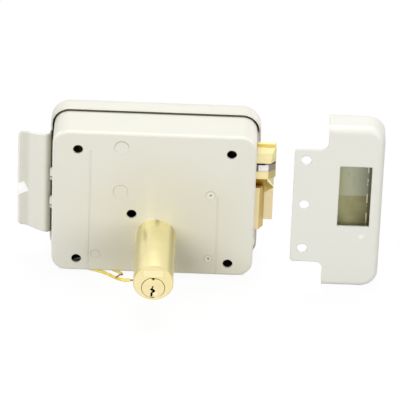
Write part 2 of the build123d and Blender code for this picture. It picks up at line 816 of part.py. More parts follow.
# Posts: the two that take the cover's screws
for name in ("upper_cover_post", "lower_cover_post"):
    post_x, post_z, rivet = posts[name]
    with BuildPart() as cover_post:
        with BuildSketch(plane_at(-rivet_proud)):
            with Locations((post_x, post_z)):
                Circle(rivet / 2)
        extrude(amount=-(case_sheet + rivet_proud))
        with BuildSketch(plane_at(case_sheet)):
            with Locations((post_x, post_z)):
                Circle(cover_post_diameter / 2)
        extrude(amount=-(cover_inside - case_sheet))
        with BuildSketch(plane_at(cover_inside)):
            with Locations((post_x, post_z)):
                Circle(cover_screw_diameter / 2 + screw_gap)
        extrude(amount=cover_screw_length, mode=Mode.SUBTRACT)
        if rivet < large_rivet:
            with BuildSketch(plane_at(-rivet_proud)):
                with Locations((post_x, post_z)):
                    Circle(lower_rivet_dot / 2)
            extrude(amount=-rivet_dot_depth, mode=Mode.SUBTRACT)
    save(cover_post, name)

# Pivot post for the catch lever
with BuildPart() as pivot_post:
    with BuildSketch(plane_at(-rivet_proud)):
        with Locations((pivot_post_x, pivot_post_z)):
            Circle(large_rivet / 2)
    extrude(amount=-(case_sheet + rivet_proud))
    with BuildSketch(plane_at(case_sheet)):
        with Locations((pivot_post_x, pivot_post_z)):
            Circle(large_rivet / 2 + 0.8)
    extrude(amount=-(slide_near - slide_gap - case_sheet))
    with BuildSketch(plane_at(slide_near - slide_gap)):
        with Locations((pivot_post_x, pivot_post_z)):
            Circle(pivot_pin_diameter / 2)
    extrude(amount=-(lever_thickness + 2 * slide_gap + lever_clip_thickness + 1))
save(pivot_post, "pivot_post")

# Guide post for the latch slide, with a shoulder under the plate
guide_pin = guide_slot - 1 - 2 * slide_gap
with BuildPart() as guide_post:
    with BuildSketch(plane_at(-rivet_proud)):
        with Locations((guide_post_x, guide_post_z)):
            Circle(guide_rivet / 2)
    extrude(amount=-(case_sheet + rivet_proud))
    with BuildSketch(plane_at(case_sheet)):
        with Locations((guide_post_x, guide_post_z)):
            Circle(guide_pin / 2)
    extrude(amount=-(slide_far + slide_gap - case_sheet))
    with BuildSketch(plane_at(slide_far + slide_gap)):
        with Locations((guide_post_x, guide_post_z)):
            Circle(guide_rivet / 2 + 1)
    extrude(amount=-1.2)
    with BuildSketch(plane_at(-rivet_proud)):
        with Locations((guide_post_x, guide_post_z)):
            Circle(guide_rivet_dot / 2)
    extrude(amount=-rivet_dot_depth, mode=Mode.SUBTRACT)
save(guide_post, "guide_post")

# Short post under the terminal block
with BuildPart() as terminal_post:
    with BuildSketch(plane_at(-rivet_proud)):
        with Locations((terminal_post_x, terminal_post_z)):
            Circle(terminal_rivet / 2)
    extrude(amount=-(terminal_stand + rivet_proud))
    with BuildSketch(plane_at(terminal_stand)):
        with Locations((terminal_post_x, terminal_post_z)):
            Circle(terminal_screw_diameter / 2 + screw_gap)
    extrude(amount=3.2, mode=Mode.SUBTRACT)
save(terminal_post, "terminal_post")

# Catch lever: a bell crank whose hook rides on the slide's tooth
hook_bottom = slide_top + slide_gap
with BuildPart() as catch_lever:
    with BuildSketch(plane_at(slide_near)):
        with Locations((pivot_post_x, pivot_post_z)):
            Circle(lever_hub_diameter / 2)
        with BuildLine():
            Polyline(
                (pivot_post_x - lever_arm_width / 2, pivot_post_z),
                (pivot_post_x - lever_arm_width / 2, plunger_z + lever_arm_top),
                (pivot_post_x + lever_arm_width / 2, plunger_z + lever_arm_top),
                (pivot_post_x + lever_arm_width / 2, pivot_post_z + lever_hub_diameter / 2),
                (lever_hook_x + lever_hook_width / 2, hook_bottom + lever_hub_diameter / 2),
                (lever_hook_x + lever_hook_width / 2, hook_bottom),
                (lever_hook_x - lever_hook_width / 2, hook_bottom),
                (lever_hook_x - lever_hook_width, hook_bottom + 2),
                (pivot_post_x + lever_hub_diameter / 2 - 1.5, pivot_post_z + 2.5),
                close=True,
            )
        make_face()
        with Locations((pivot_post_x, pivot_post_z)):
            Circle(pivot_pin_diameter / 2 + running_gap, mode=Mode.SUBTRACT)
        with Locations((pivot_post_x, plunger_z)):
            SlotOverall(
                plunger_pin_diameter + 2 * slide_gap + 1.4,
                plunger_pin_diameter + 2 * slide_gap,
                rotation=90,
                mode=Mode.SUBTRACT,
            )
    extrude(amount=-lever_thickness)
save(catch_lever, "catch_lever")

# Clip that keeps the lever on its post
clip_near = slide_near + lever_thickness + slide_gap
with BuildPart() as lever_clip:
    with BuildSketch(plane_at(clip_near)):
        with Locations((pivot_post_x, pivot_post_z)):
            Circle(pivot_pin_diameter / 2 + 2.2)
            Circle(pivot_pin_diameter / 2 + rivet_gap, mode=Mode.SUBTRACT)
        with Locations((pivot_post_x, pivot_post_z - pivot_pin_diameter)):
            Rectangle(pivot_pin_diameter * 0.6, pivot_pin_diameter * 1.2, mode=Mode.SUBTRACT)
    extrude(amount=-lever_clip_thickness)
save(lever_clip, "lever_clip")

# Solenoid yoke: a U of steel sheet welded to the case's face
yoke_right = yoke_left + yoke_length
yoke_far = plunger_y + bobbin_flange_diameter / 2 + 0.5
with BuildPart() as solenoid_yoke:
    with BuildSketch(Plane.XY.offset(plunger_z - yoke_height / 2)):
        with BuildLine():
            Polyline(
                (yoke_left, yoke_far),
                (yoke_left, case_sheet),
                (yoke_right, case_sheet),
                (yoke_right, yoke_far),
                (yoke_right - yoke_sheet, yoke_far),
                (yoke_right - yoke_sheet, case_sheet + yoke_sheet),
                (yoke_left + yoke_sheet, case_sheet + yoke_sheet),
                (yoke_left + yoke_sheet, yoke_far),
                close=True,
            )
        make_face()
    extrude(amount=yoke_height)
    with BuildSketch(Plane.YZ.offset(yoke_right - yoke_sheet - 1)):
        with Locations((plunger_y, plunger_z)):
            Circle(plunger_diameter / 2 + slide_gap)
    extrude(amount=yoke_sheet + 2, mode=Mode.SUBTRACT)
    with BuildSketch(Plane.YZ.offset(yoke_left - 1)):
        with Locations((plunger_y, plunger_z)):
            Circle(plunger_pin_diameter + rivet_gap)
    extrude(amount=yoke_sheet + 2, mode=Mode.SUBTRACT)
save(solenoid_yoke, "solenoid_yoke")

# Bobbin between the yoke's ends
bobbin_left = yoke_left + yoke_sheet
bobbin_right = yoke_right - yoke_sheet
bobbin_bore = plunger_diameter / 2 + 2 * running_gap
with BuildPart() as solenoid_bobbin:
    with BuildSketch(Plane.YZ.offset(bobbin_left)):
        with Locations((plunger_y, plunger_z)):
            Circle(bobbin_flange_diameter / 2)
    extrude(amount=bobbin_flange)
    with BuildSketch(Plane.YZ.offset(bobbin_right - bobbin_flange)):
        with Locations((plunger_y, plunger_z)):
            Circle(bobbin_flange_diameter / 2)
    extrude(amount=bobbin_flange)
    with BuildSketch(Plane.YZ.offset(bobbin_left)):
        with Locations((plunger_y, plunger_z)):
            Circle(bobbin_bore + bobbin_wall)
    extrude(amount=bobbin_right - bobbin_left)
    with BuildSketch(Plane.YZ.offset(bobbin_left)):
        with Locations((plunger_y, plunger_z)):
            Circle(bobbin_bore)
    extrude(amount=bobbin_right - bobbin_left, mode=Mode.SUBTRACT)
save(solenoid_bobbin, "solenoid_bobbin")

# Coil, the wound copper under its tape
with BuildPart() as solenoid_coil:
    with BuildSketch(Plane.YZ.offset(bobbin_left + bobbin_flange)):
        with Locations((plunger_y, plunger_z)):
            Circle(coil_diameter / 2)
            Circle(bobbin_bore + bobbin_wall, mode=Mode.SUBTRACT)
    extrude(amount=bobbin_right - bobbin_left - 2 * bobbin_flange)
save(solenoid_coil, "solenoid_coil")

# Fixed core at the closed end of the bobbin, riveted to the yoke
with BuildPart() as solenoid_core:
    with BuildSketch(Plane.YZ.offset(bobbin_left)):
        with Locations((plunger_y, plunger_z)):
            Circle(plunger_diameter / 2)
    extrude(amount=core_length)
    with BuildSketch(Plane.YZ.offset(yoke_left)):
        with Locations((plunger_y, plunger_z)):
            Circle(plunger_pin_diameter)
    extrude(amount=yoke_sheet)
save(solenoid_core, "solenoid_core")

# Plunger with its slotted end round the lever's arm
plunger_right = plunger_x + plunger_head
plunger_left = bobbin_left + core_length + plunger_travel + plunger_spare
plunger_length = plunger_right - plunger_left
with BuildPart() as solenoid_plunger:
    with BuildSketch(Plane.YZ.offset(plunger_left)):
        with Locations((plunger_y, plunger_z)):
            Circle(plunger_diameter / 2)
    extrude(amount=plunger_length)
    # fork for the lever's arm
    with BuildSketch(Plane.YZ.offset(plunger_x - plunger_fork)):
        with Locations((plunger_y, plunger_z)):
            Rectangle(lever_thickness + 2 * slide_gap, plunger_diameter + 2)
    extrude(amount=plunger_right - plunger_x + plunger_fork, mode=Mode.SUBTRACT)
    with BuildSketch(plane_at(plunger_y - plunger_diameter)):
        with Locations((plunger_x, plunger_z)):
            Circle(plunger_pin_diameter / 2 + rivet_gap)
    extrude(amount=-2 * plunger_diameter, mode=Mode.SUBTRACT)
save(solenoid_plunger, "solenoid_plunger")

# Cross pin through the plunger's fork and the lever's slot
with BuildPart() as plunger_pin:
    with BuildSketch(plane_at(plunger_y - plunger_pin_length / 2)):
        with Locations((plunger_x, plunger_z)):
            Circle(plunger_pin_diameter / 2)
    extrude(amount=-plunger_pin_length)
save(plunger_pin, "plunger_pin")

# Plunger spring with the collar that it pushes on
collar_right = plunger_x - plunger_fork - 0.6
collar_left = collar_right - plunger_collar_thickness
with BuildPart() as plunger_collar:
    with BuildSketch(Plane.YZ.offset(collar_left)):
        with Locations((plunger_y, plunger_z)):
            Circle(plunger_collar_diameter / 2)
            Circle(plunger_diameter / 2 + rivet_gap, mode=Mode.SUBTRACT)
    extrude(amount=plunger_collar_thickness)
save(plunger_collar, "plunger_collar")

with BuildPart() as plunger_spring:
    with BuildSketch(Plane.YZ.offset(yoke_right)):
        with Locations((plunger_y, plunger_z)):
            Circle(plunger_spring_diameter / 2)
            Circle(plunger_spring_diameter / 2 - spring_wall, mode=Mode.SUBTRACT)
    extrude(amount=collar_left - yoke_right)
save(plunger_spring, "plunger_spring")

# Bracket behind the latch spring, welded to the case's face
spring_y = slide_near + slide_thickness / 2
bracket_far = spring_y + latch_spring_diameter / 2
with BuildPart() as spring_bracket:
    with BuildSketch(Plane.XY.offset(latch_spring_z - spring_bracket_height / 2)):
        with BuildLine():
            Polyline(
                (spring_bracket_x, case_sheet),
                (spring_bracket_x, bracket_far),
                (spring_bracket_x + spring_bracket_sheet, bracket_far),
                (spring_bracket_x + spring_bracket_sheet, case_sheet + spring_bracket_sheet),
                (spring_bracket_x + 8, case_sheet + spring_bracket_sheet),
                (spring_bracket_x + 8, case_sheet),
                close=True,
            )
        make_face()
    extrude(amount=spring_bracket_height)
save(spring_bracket, "spring_bracket")

with BuildPart() as latch_spring:
    with BuildSketch(Plane.YZ.offset(spring_bracket_x + spring_bracket_sheet)):
        with Locations((spring_y, latch_spring_z)):
            Circle(latch_spring_diameter / 2)
            Circle(latch_spring_diameter / 2 - spring_wall, mode=Mode.SUBTRACT)
    extrude(amount=slide_left - spring_bracket_x - spring_bracket_sheet)
save(latch_spring, "latch_spring")

# Cocking spring and the small bracket that it stands against
cocking_spring_y = (latch_near + cocking_far) / 2
cocking_spring_z = (cocking_tail_bottom + cocking_tail_top) / 2
cocking_bracket_x = cocking_tail_rear - cocking_spring_length
with BuildPart() as cocking_spring:
    with BuildSketch(Plane.YZ.offset(cocking_bracket_x)):
        with Locations((cocking_spring_y, cocking_spring_z)):
            Circle(cocking_spring_diameter / 2)
            Circle(cocking_spring_diameter / 2 - spring_wall, mode=Mode.SUBTRACT)
    extrude(amount=cocking_spring_length)
save(cocking_spring, "cocking_spring")

with BuildPart() as cocking_bracket:
    with BuildSketch(Plane.XY.offset(cocking_spring_z - 4)):
        with BuildLine():
            Polyline(
                (cocking_bracket_x, cocking_far),
                (cocking_bracket_x, case_sheet + spring_bracket_sheet),
                (cocking_bracket_x + 7, case_sheet + spring_bracket_sheet),
                (cocking_bracket_x + 7, case_sheet),
                (cocking_bracket_x - spring_bracket_sheet, case_sheet),
                (cocking_bracket_x - spring_bracket_sheet, cocking_far),
                close=True,
            )
        make_face()
    extrude(amount=8)
save(cocking_bracket, "cocking_bracket")

# Button bush through the cover, with its nut inside
bush_back = lock_depth - bush_length
with BuildPart() as button_bush:
    with BuildSketch(plane_at(lock_depth)):
        with Locations((button_x, button_z)):
            Circle(bush_flange_diameter / 2)
    extrude(amount=-bush_flange)
    fillet(faces().sort_by(Axis.Y)[-1].edges(), bush_flange * 0.4)
    with BuildSketch(plane_at(lock_depth)):
        with Locations((button_x, button_z)):
            Circle(bush_diameter / 2)
    extrude(amount=bush_length)
    with BuildSketch(plane_at(lock_depth + bush_flange)):
        with Locations((button_x, button_z)):
            Circle(button_diameter / 2 + running_gap)
    extrude(amount=bush_flange + bush_length - bush_lip, mode=Mode.SUBTRACT)
    with BuildSketch(plane_at(bush_back)):
        with Locations((button_x, button_z)):
            Circle(button_stem_diameter / 2 + running_gap)
    extrude(amount=-bush_lip, mode=Mode.SUBTRACT)
save(button_bush, "button_bush")

with BuildPart() as button_nut:
    with BuildSketch(plane_at(cover_inside)):
        with Locations((button_x, button_z)):
            RegularPolygon(nut_width / 2, 6, major_radius=False)
            Circle(bush_diameter / 2 + screw_gap, mode=Mode.SUBTRACT)
    extrude(amount=nut_thickness)
save(button_nut, "button_nut")

# Release button: a domed head and a stem that reaches towards the catch
button_end = lock_depth + bush_flange + button_proud
stem_end = slide_far + 0.5 + button_travel
with BuildPart() as release_button:
    with BuildSketch(plane_at(button_end)):
        with Locations((button_x, button_z)):
            Circle(button_diameter / 2)
    extrude(amount=button_head_length)
    fillet(faces().sort_by(Axis.Y)[-1].edges(), 1.5)
    with BuildSketch(plane_at(button_end - button_head_length)):
        with Locations((button_x, button_z)):
            Circle(button_stem_diameter / 2)
    extrude(amount=button_end - button_head_length - stem_end)
    chamfer(faces().sort_by(Axis.Y)[0].edges(), 1.5)
save(release_button, "release_button")

with BuildPart() as button_spring:
    with BuildSketch(plane_at(bush_back + bush_lip)):
        with Locations((button_x, button_z)):
            Circle(button_diameter / 2 - 0.5)
            Circle(button_diameter / 2 - 0.5 - spring_wall, mode=Mode.SUBTRACT)
    extrude(amount=-(button_end - button_head_length - bush_back - bush_lip))
save(button_spring, "button_spring")

with BuildPart() as button_clip:
    with BuildSketch(plane_at(bush_back - slide_gap)):
        with Locations((button_x, button_z)):
            Circle(button_clip_diameter / 2)
            Circle(button_stem_diameter / 2 + rivet_gap, mode=Mode.SUBTRACT)
    extrude(amount=button_clip_thickness)
save(button_clip, "button_clip")

# Terminal block on its post, with an ear for the screw
terminal_far = terminal_stand + terminal_depth
with BuildPart() as terminal_block:
    with BuildSketch(plane_at(terminal_stand)):
        with Locations((terminal_x, terminal_bottom + terminal_height / 2)):
            Rectangle(terminal_width, terminal_height)
    extrude(amount=-terminal_depth)
    with BuildSketch(plane_at(terminal_stand)):
        with Locations((terminal_post_x, (terminal_bottom + terminal_post_z - terminal_rivet / 2 - 1) / 2)):
            Rectangle(terminal_rivet + 1, terminal_bottom - terminal_post_z + terminal_rivet / 2 + 1)
    extrude(amount=-terminal_ear)
    with BuildSketch(plane_at(terminal_stand)):
        with Locations((terminal_post_x, terminal_post_z)):
            Circle(terminal_screw_diameter / 2 + screw_gap)
    extrude(amount=-terminal_ear, mode=Mode.SUBTRACT)
    with BuildSketch(plane_at(terminal_far)):
        with Locations((terminal_x, terminal_bottom + terminal_height / 2)):
            with GridLocations(terminal_screw_pitch, 1, 2, 1):
                Circle(terminal_screw_diameter / 2 + 0.6)
    extrude(amount=3, mode=Mode.SUBTRACT)
save(terminal_block, "terminal_block")

with BuildPart() as terminal_screws:
    with BuildSketch(plane_at(terminal_far - 1)):
        with Locations((terminal_x, terminal_bottom + terminal_height / 2)):
            with GridLocations(terminal_screw_pitch, 1, 2, 1):
                Circle(terminal_screw_diameter / 2 + 0.5)
    extrude(amount=2)
    with BuildSketch(plane_at(terminal_far - 1)):
        with Locations((terminal_x, terminal_bottom + terminal_height / 2)):
            with GridLocations(terminal_screw_pitch, 1, 2, 1):
                Rectangle(terminal_screw_diameter + 2, 0.8)
    extrude(amount=0.7, mode=Mode.SUBTRACT)
    with BuildSketch(plane_at(terminal_stand + terminal_ear)):
        with Locations((terminal_post_x, terminal_post_z)):
            Circle(terminal_screw_diameter / 2 + 1)
    extrude(amount=-1.2)
    with BuildSketch(plane_at(terminal_stand + terminal_ear)):
        with Locations((terminal_post_x, terminal_post_z)):
            Circle(terminal_screw_diameter / 2)
    extrude(amount=terminal_ear + 3)
save(terminal_screws, "terminal_screws")

# Lead wires: each leaves the terminal block downwards, passes the slot in the bottom
# wall and lies along the surface under the lock
long_wire_route = [
    (-40.5, 10.0, terminal_bottom),
    (-40.5, 10.0, terminal_bottom - 4.0),
    (-42.8, 10.0, terminal_bottom - 7.6),
    (-45.0, 9.4, terminal_bottom - 11.0),
    (-46.6, 8.6, terminal_bottom - 14.1),
    (-45.9, 7.0, terminal_bottom - 16.1),
    (-43.2, 5.4, wire_z),
    (-39.7, 3.8, wire_z),
    (-35.0, 2.1, wire_z),
    (-30.4, -0.4, wire_z),
    (-26.3, -3.8, wire_z),
    (-22.5, -6.4, wire_z),
    (-18.8, -7.6, wire_z),
    (-15.0, -7.3, wire_z),
]
short_wire_route = [
    (-34.2, 10.0, terminal_bottom),
    (-34.2, 10.0, terminal_bottom - 4.0),
    (-34.4, 10.1, terminal_bottom - 7.6),
    (-34.3, 9.6, terminal_bottom - 11.0),
    (-33.0, 8.8, terminal_bottom - 14.3),
    (-30.6, 7.3, terminal_bottom - 16.2),
    (-27.6, 5.3, wire_z),
    (-25.0, 3.3, wire_z),
    (-22.6, 1.8, wire_z),
    (-20.6, -0.6, wire_z),
]


# Corner radii of a wire's path, each as large as its two runs allow
def route_radii(route):
    radii = []
    for before, corner, after in zip(route, route[1:], route[2:]):
        run_in = Vector(*corner) - Vector(*before)
        run_out = Vector(*after) - Vector(*corner)
        turn = radians(run_in.get_angle(run_out))
        radii.append(0.45 * min(run_in.length, run_out.length) / tan(turn / 2))
    return radii


for name, route in (("lead_wire_long", long_wire_route), ("lead_wire_short", short_wire_route)):
    wire_radii = route_radii(route)
    with BuildPart() as lead_wire:
        with BuildLine() as path:
            FilletPolyline(*route, radius=wire_radii)
        with BuildSketch(Plane(path.line @ 0, z_dir=path.line % 0)):
            Circle(wire_radius)
        sweep()
    length = sum(edge.length for edge in path.edges())
    print(name, "length", round(length, 2), "radii", [round(radius, 1) for radius in wire_radii])
    print(name, "volume", round(lead_wire.part.volume, 1), "of", round(pi * wire_radius**2 * length, 1))
    save(lead_wire, name)

# Stripped ends: a short straight one, and a long one bent back over the other wire
conductor_z = wire_z + wire_radius + conductor_diameter / 2 + 0.15
stripped_routes = {
    "stripped_end_long": [
        (-15.0, -7.3, wire_z),
        (-14.0, -7.15, wire_z),
        (-13.0, -7.1, wire_z),
    ],
    "stripped_end_short": [
        (-20.6, -0.6, wire_z),
        (-20.05, -1.23, wire_z),
        (-20.4, -2.4, wire_z + 0.6),
        (-21.6, -3.8, conductor_z),
        (-23.1, -5.8, conductor_z + 0.1),
        (-24.2, -7.4, conductor_z),
    ],
}
for name, route in stripped_routes.items():
    with BuildPart() as stripped_end:
        with BuildLine() as path:
            FilletPolyline(*route, radius=route_radii(route))
        with BuildSketch(Plane(path.line @ 0, z_dir=path.line % 0)):
            Circle(conductor_diameter / 2)
        sweep()
    save(stripped_end, name)

# Coil leads inside, from the terminal block up to the windings
lead_bottom = terminal_bottom + terminal_height
lead_top = plunger_z - coil_diameter / 2
with BuildPart() as coil_leads:
    for lead_x, end_x in ((-40.5, -47.0), (-34.2, -41.0)):
        with BuildLine() as path:
            FilletPolyline(
                (lead_x, 10.0, lead_bottom),
                (lead_x, 10.0, lead_bottom + 10),
                (end_x, plunger_y, lead_top - 9),
                (end_x, plunger_y, lead_top),
                radius=7,
            )
        with BuildSketch(Plane(path.line @ 0, z_dir=path.line % 0)):
            Circle(wire_radius)
        sweep()
save(coil_leads, "coil_leads")

# Strike box: a pressed box with a screw flange and the latch's window
strike_far = strike_near + strike_depth
with BuildPart() as strike_box:
    with BuildSketch(plane_at(strike_near)):
        with BuildLine():
            Polyline(
                (strike_left, strike_bottom),
                (strike_right, strike_bottom),
                (strike_right, strike_top),
                (strike_left, strike_top),
                close=True,
            )
        make_face()
        fillet(vertices().group_by(Axis.X)[-1], strike_corner)
    extrude(amount=-strike_depth)
    rim = faces().sort_by(Axis.Y)[0].edges().filter_by(lambda edge: edge.center().X > strike_left + 0.1)
    fillet(rim, strike_edge)
    hollow = [faces().sort_by(Axis.Y)[-1], faces().sort_by(Axis.X)[0]]
    offset(amount=-strike_sheet, openings=hollow)
    with BuildSketch(plane_at(strike_near)):
        with BuildLine():
            Polyline(
                (flange_left, flange_bottom),
                (strike_left + 2, flange_bottom),
                (strike_left + 2, flange_top),
                (flange_left, flange_top),
                close=True,
            )
        make_face()
        fillet(vertices().group_by(Axis.X)[0], flange_corner)
    extrude(amount=-strike_sheet)
    inner = edges().filter_by(Axis.Y).filter_by(
        lambda edge: abs(edge.center().X - strike_left) < 0.1
        and flange_bottom - 0.1 < edge.center().Z < flange_top + 0.1
    )
    fillet(inner, flange_inner_corner)
    with BuildSketch(plane_at(strike_near - 1)):
        with Locations((strike_hole_x, strike_hole_z)):
            with GridLocations(1, strike_hole_pitch, 1, 3):
                Circle(strike_hole / 2)
        with Locations(((window_left + window_right) / 2, (window_bottom + window_top) / 2)):
            Rectangle(window_right - window_left, window_top - window_bottom)
    extrude(amount=-(strike_sheet + 2), mode=Mode.SUBTRACT)
save(strike_box, "strike_box")

# Strike liner: a channel behind the window, its back bent forward below
liner_near = strike_near + strike_sheet
liner_left = window_left - liner_margin
liner_right = window_right + liner_margin - 1
liner_bottom = window_bottom - liner_drop
liner_top = window_top + liner_margin
liner_back = liner_near + liner_depth
with BuildPart() as strike_liner:
    with BuildSketch(Plane.XY.offset(liner_bottom)):
        with BuildLine():
            Polyline(
                (liner_left, liner_near),
                (liner_left, liner_back),
                (liner_right, liner_back),
                (liner_right, liner_near),
                (liner_right - liner_sheet, liner_near),
                (liner_right - liner_sheet, liner_back - liner_sheet),
                (liner_left + liner_sheet, liner_back - liner_sheet),
                (liner_left + liner_sheet, liner_near),
                close=True,
            )
        make_face()
    extrude(amount=liner_top - liner_bottom)
    liner_face = liner_back - liner_sheet
    with BuildSketch(Plane.YZ.offset(liner_left + liner_sheet)):
        Polygon(
            (liner_face, liner_bend_z),
            (liner_face - liner_slope, liner_bottom),
            (liner_face, liner_bottom),
            align=None,
        )
    extrude(amount=liner_right - liner_left - 2 * liner_sheet)
save(strike_liner, "strike_liner")
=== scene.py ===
import json
import math

import bmesh
import bpy
from mathutils import Matrix, Vector
from mathutils.bvhtree import BVHTree


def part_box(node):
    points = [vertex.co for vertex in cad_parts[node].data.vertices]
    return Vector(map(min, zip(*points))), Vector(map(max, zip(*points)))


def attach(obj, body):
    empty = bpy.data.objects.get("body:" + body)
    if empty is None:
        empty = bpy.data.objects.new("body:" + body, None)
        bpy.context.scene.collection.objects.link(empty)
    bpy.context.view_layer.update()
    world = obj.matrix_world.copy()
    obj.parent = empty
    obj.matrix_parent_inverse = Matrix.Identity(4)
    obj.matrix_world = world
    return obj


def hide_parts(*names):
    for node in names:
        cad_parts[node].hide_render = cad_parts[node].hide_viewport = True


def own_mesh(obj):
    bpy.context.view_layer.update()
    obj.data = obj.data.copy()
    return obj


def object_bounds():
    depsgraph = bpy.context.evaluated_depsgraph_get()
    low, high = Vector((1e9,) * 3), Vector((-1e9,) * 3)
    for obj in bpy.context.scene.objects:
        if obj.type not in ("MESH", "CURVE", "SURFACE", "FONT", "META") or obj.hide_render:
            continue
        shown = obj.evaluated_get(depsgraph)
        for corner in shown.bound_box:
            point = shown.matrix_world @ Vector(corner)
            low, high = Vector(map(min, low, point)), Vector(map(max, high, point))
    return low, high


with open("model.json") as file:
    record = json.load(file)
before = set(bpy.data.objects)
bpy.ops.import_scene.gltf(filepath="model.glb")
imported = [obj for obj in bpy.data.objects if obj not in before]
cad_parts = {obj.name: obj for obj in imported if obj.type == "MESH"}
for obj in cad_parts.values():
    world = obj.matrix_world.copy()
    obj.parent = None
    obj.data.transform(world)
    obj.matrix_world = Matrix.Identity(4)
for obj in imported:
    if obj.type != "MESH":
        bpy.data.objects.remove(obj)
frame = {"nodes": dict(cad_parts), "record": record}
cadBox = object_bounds()
nodes = frame["nodes"]
mm = 0.001
print("frame loaded,", len(nodes), "nodes")


# Node graphs, for materials and geometry alike

class Wire:
    # one output socket, on which plain arithmetic adds Math nodes
    def __init__(self, graph, socket):
        self.graph = graph
        self.socket = socket

    def calc(self, operation, *others):
        return self.graph.add("ShaderNodeMath", {"operation": operation}, self, *others)

    def __add__(self, other):
        return self.calc("ADD", other)

    __radd__ = __add__

    def __mul__(self, other):
        return self.calc("MULTIPLY", other)

    __rmul__ = __mul__

    def __sub__(self, other):
        return self.calc("SUBTRACT", other)

    def __rsub__(self, other):
        return self.graph.add("ShaderNodeMath", {"operation": "SUBTRACT"}, other, self)

    def __abs__(self):
        return self.calc("ABSOLUTE")

    def above(self, edge):
        return self.calc("GREATER_THAN", edge)

    def below(self, edge):
        return self.calc("LESS_THAN", edge)

    def larger(self, other):
        return self.calc("MAXIMUM", other)

    def smaller(self, other):
        return self.calc("MINIMUM", other)

    def power(self, exponent):
        return self.calc("POWER", exponent)

    def ramp(self, low, high, start=0.0, end=1.0):
        # start below low, end above high, and smooth between them
        settings = {"interpolation_type": "SMOOTHSTEP"}
        return self.graph.add("ShaderNodeMapRange", settings, self, low, high, start, end)


class Graph:
    def __init__(self, tree):
        self.tree = tree
        self.tree.nodes.clear()

    def make(self, kind, settings=None, *inputs, **named):
        # a node whose settings come first, then the values or links of its sockets
        node = self.tree.nodes.new(kind)
        for key, value in (settings or {}).items():
            setattr(node, key, value)
        sockets = [socket for socket in node.inputs if socket.enabled]
        for socket, value in zip(sockets, inputs):
            self.feed(socket, value)
        for key, value in named.items():
            self.feed(node.inputs[key.replace("_", " ")], value)
        return node

    def add(self, kind, settings=None, *inputs, output=None, **named):
        # such a node's output of that name, or else its first one
        node = self.make(kind, settings, *inputs, **named)
        first = next(socket for socket in node.outputs if socket.enabled)
        return Wire(self, node.outputs[output] if output else first)

    def feed(self, socket, value):
        if isinstance(value, Wire):
            self.tree.links.new(value.socket, socket)
        else:
            socket.default_value = value

    def split(self, vector):
        node = self.make("ShaderNodeSeparateXYZ", None, vector)
        return [Wire(self, socket) for socket in node.outputs]

    def mixColour(self, share, first, second):
        # a Mix node's colour sockets come after those for numbers and vectors
        node = self.make("ShaderNodeMix", {"data_type": "RGBA"})
        for index, value in zip((0, 6, 7), (share, first, second)):
            self.feed(node.inputs[index], value)
        return Wire(self, node.outputs[2])

    def mixValue(self, share, first, second):
        return first + share * (second - first)


def colour(code):
    # a written colour such as "e0ded2", as the linear values that a socket takes
    parts = [int(code[place : place + 2], 16) / 255 for place in (0, 2, 4)]
    linear = [part / 12.92 if part <= 0.04045 else ((part + 0.055) / 1.055) ** 2.4 for part in parts]
    return (*linear, 1.0)


class Finish(Graph):
    # a material with one Principled shader, and what its patterns are placed by
    def __init__(self, name):
        self.material = bpy.data.materials.new(name)
        self.material.use_nodes = True
        super().__init__(self.material.node_tree)
        self.shader = self.make("ShaderNodeBsdfPrincipled")
        self.make("ShaderNodeOutputMaterial", None, Wire(self, self.shader.outputs[0]))
        self.place = self.add("ShaderNodeTexCoord", output="Object")
        self.x, self.y, self.z = self.split(self.place)
        normal = self.add("ShaderNodeNewGeometry", output="Normal")
        self.facingX, self.facingY, self.facingZ = self.split(normal)

    def set(self, **values):
        for key, value in values.items():
            self.feed(self.shader.inputs[key.replace("_", " ")], value)

    def reach(self, x, z):
        # the distance from a line along Y through x and z
        return ((self.x - x).power(2.0) + (self.z - z).power(2.0)).power(0.5)

    def noise(self, scale, detail=2.0, roughness=0.5, stretch=None):
        place = self.place
        if stretch:
            place = self.add("ShaderNodeVectorMath", {"operation": "MULTIPLY"}, place, stretch)
        return self.add(
            "ShaderNodeTexNoise", None, Vector=place, Scale=scale, Detail=detail, Roughness=roughness
        )

    def tinted(self, base, share, code):
        # base with a share of a written colour over it
        return self.mixColour(share, base, colour(code))

    def relief(self, height, depth, strength=1.0, edge=None):
        # the surface raised by height, from 0 to 1, times depth in metres, with its edges eased
        bump = self.make("ShaderNodeBump", None, Height=height, Distance=depth, Strength=strength)
        if edge:
            self.feed(bump.inputs["Normal"], self.add("ShaderNodeBevel", {"samples": 6}, edge))
        self.set(Normal=Wire(self, bump.outputs[0]))

    def inside(self, low, high, corner, wall):
        # 1 on the inner side of a shell that is round-cornered in X and Z
        fromX = self.x - (low.x + high.x) / 2
        fromZ = self.z - (low.z + high.z) / 2
        pastX = abs(fromX) - ((high.x - low.x) / 2 - corner)
        pastZ = abs(fromZ) - ((high.z - low.z) / 2 - corner)
        away = (pastX.larger(0.0).power(2.0) + pastZ.larger(0.0).power(2.0)).power(0.5)
        near = pastX.larger(pastZ).smaller(0.0)
        outward = fromX * self.facingX + fromZ * self.facingZ
        return (away + near).below(corner - wall) * outward.below(0.1 * mm)


# Enamel

paint = {
    "face": "e2e1d5",
    "warm": "ded9cb",
    "cool": "e2e3d8",
    "scuff": "c3bfb0",
    "edge": 0.9 * mm,
    "peel": 900.0,  # pits of the sprayed film, per metre
}


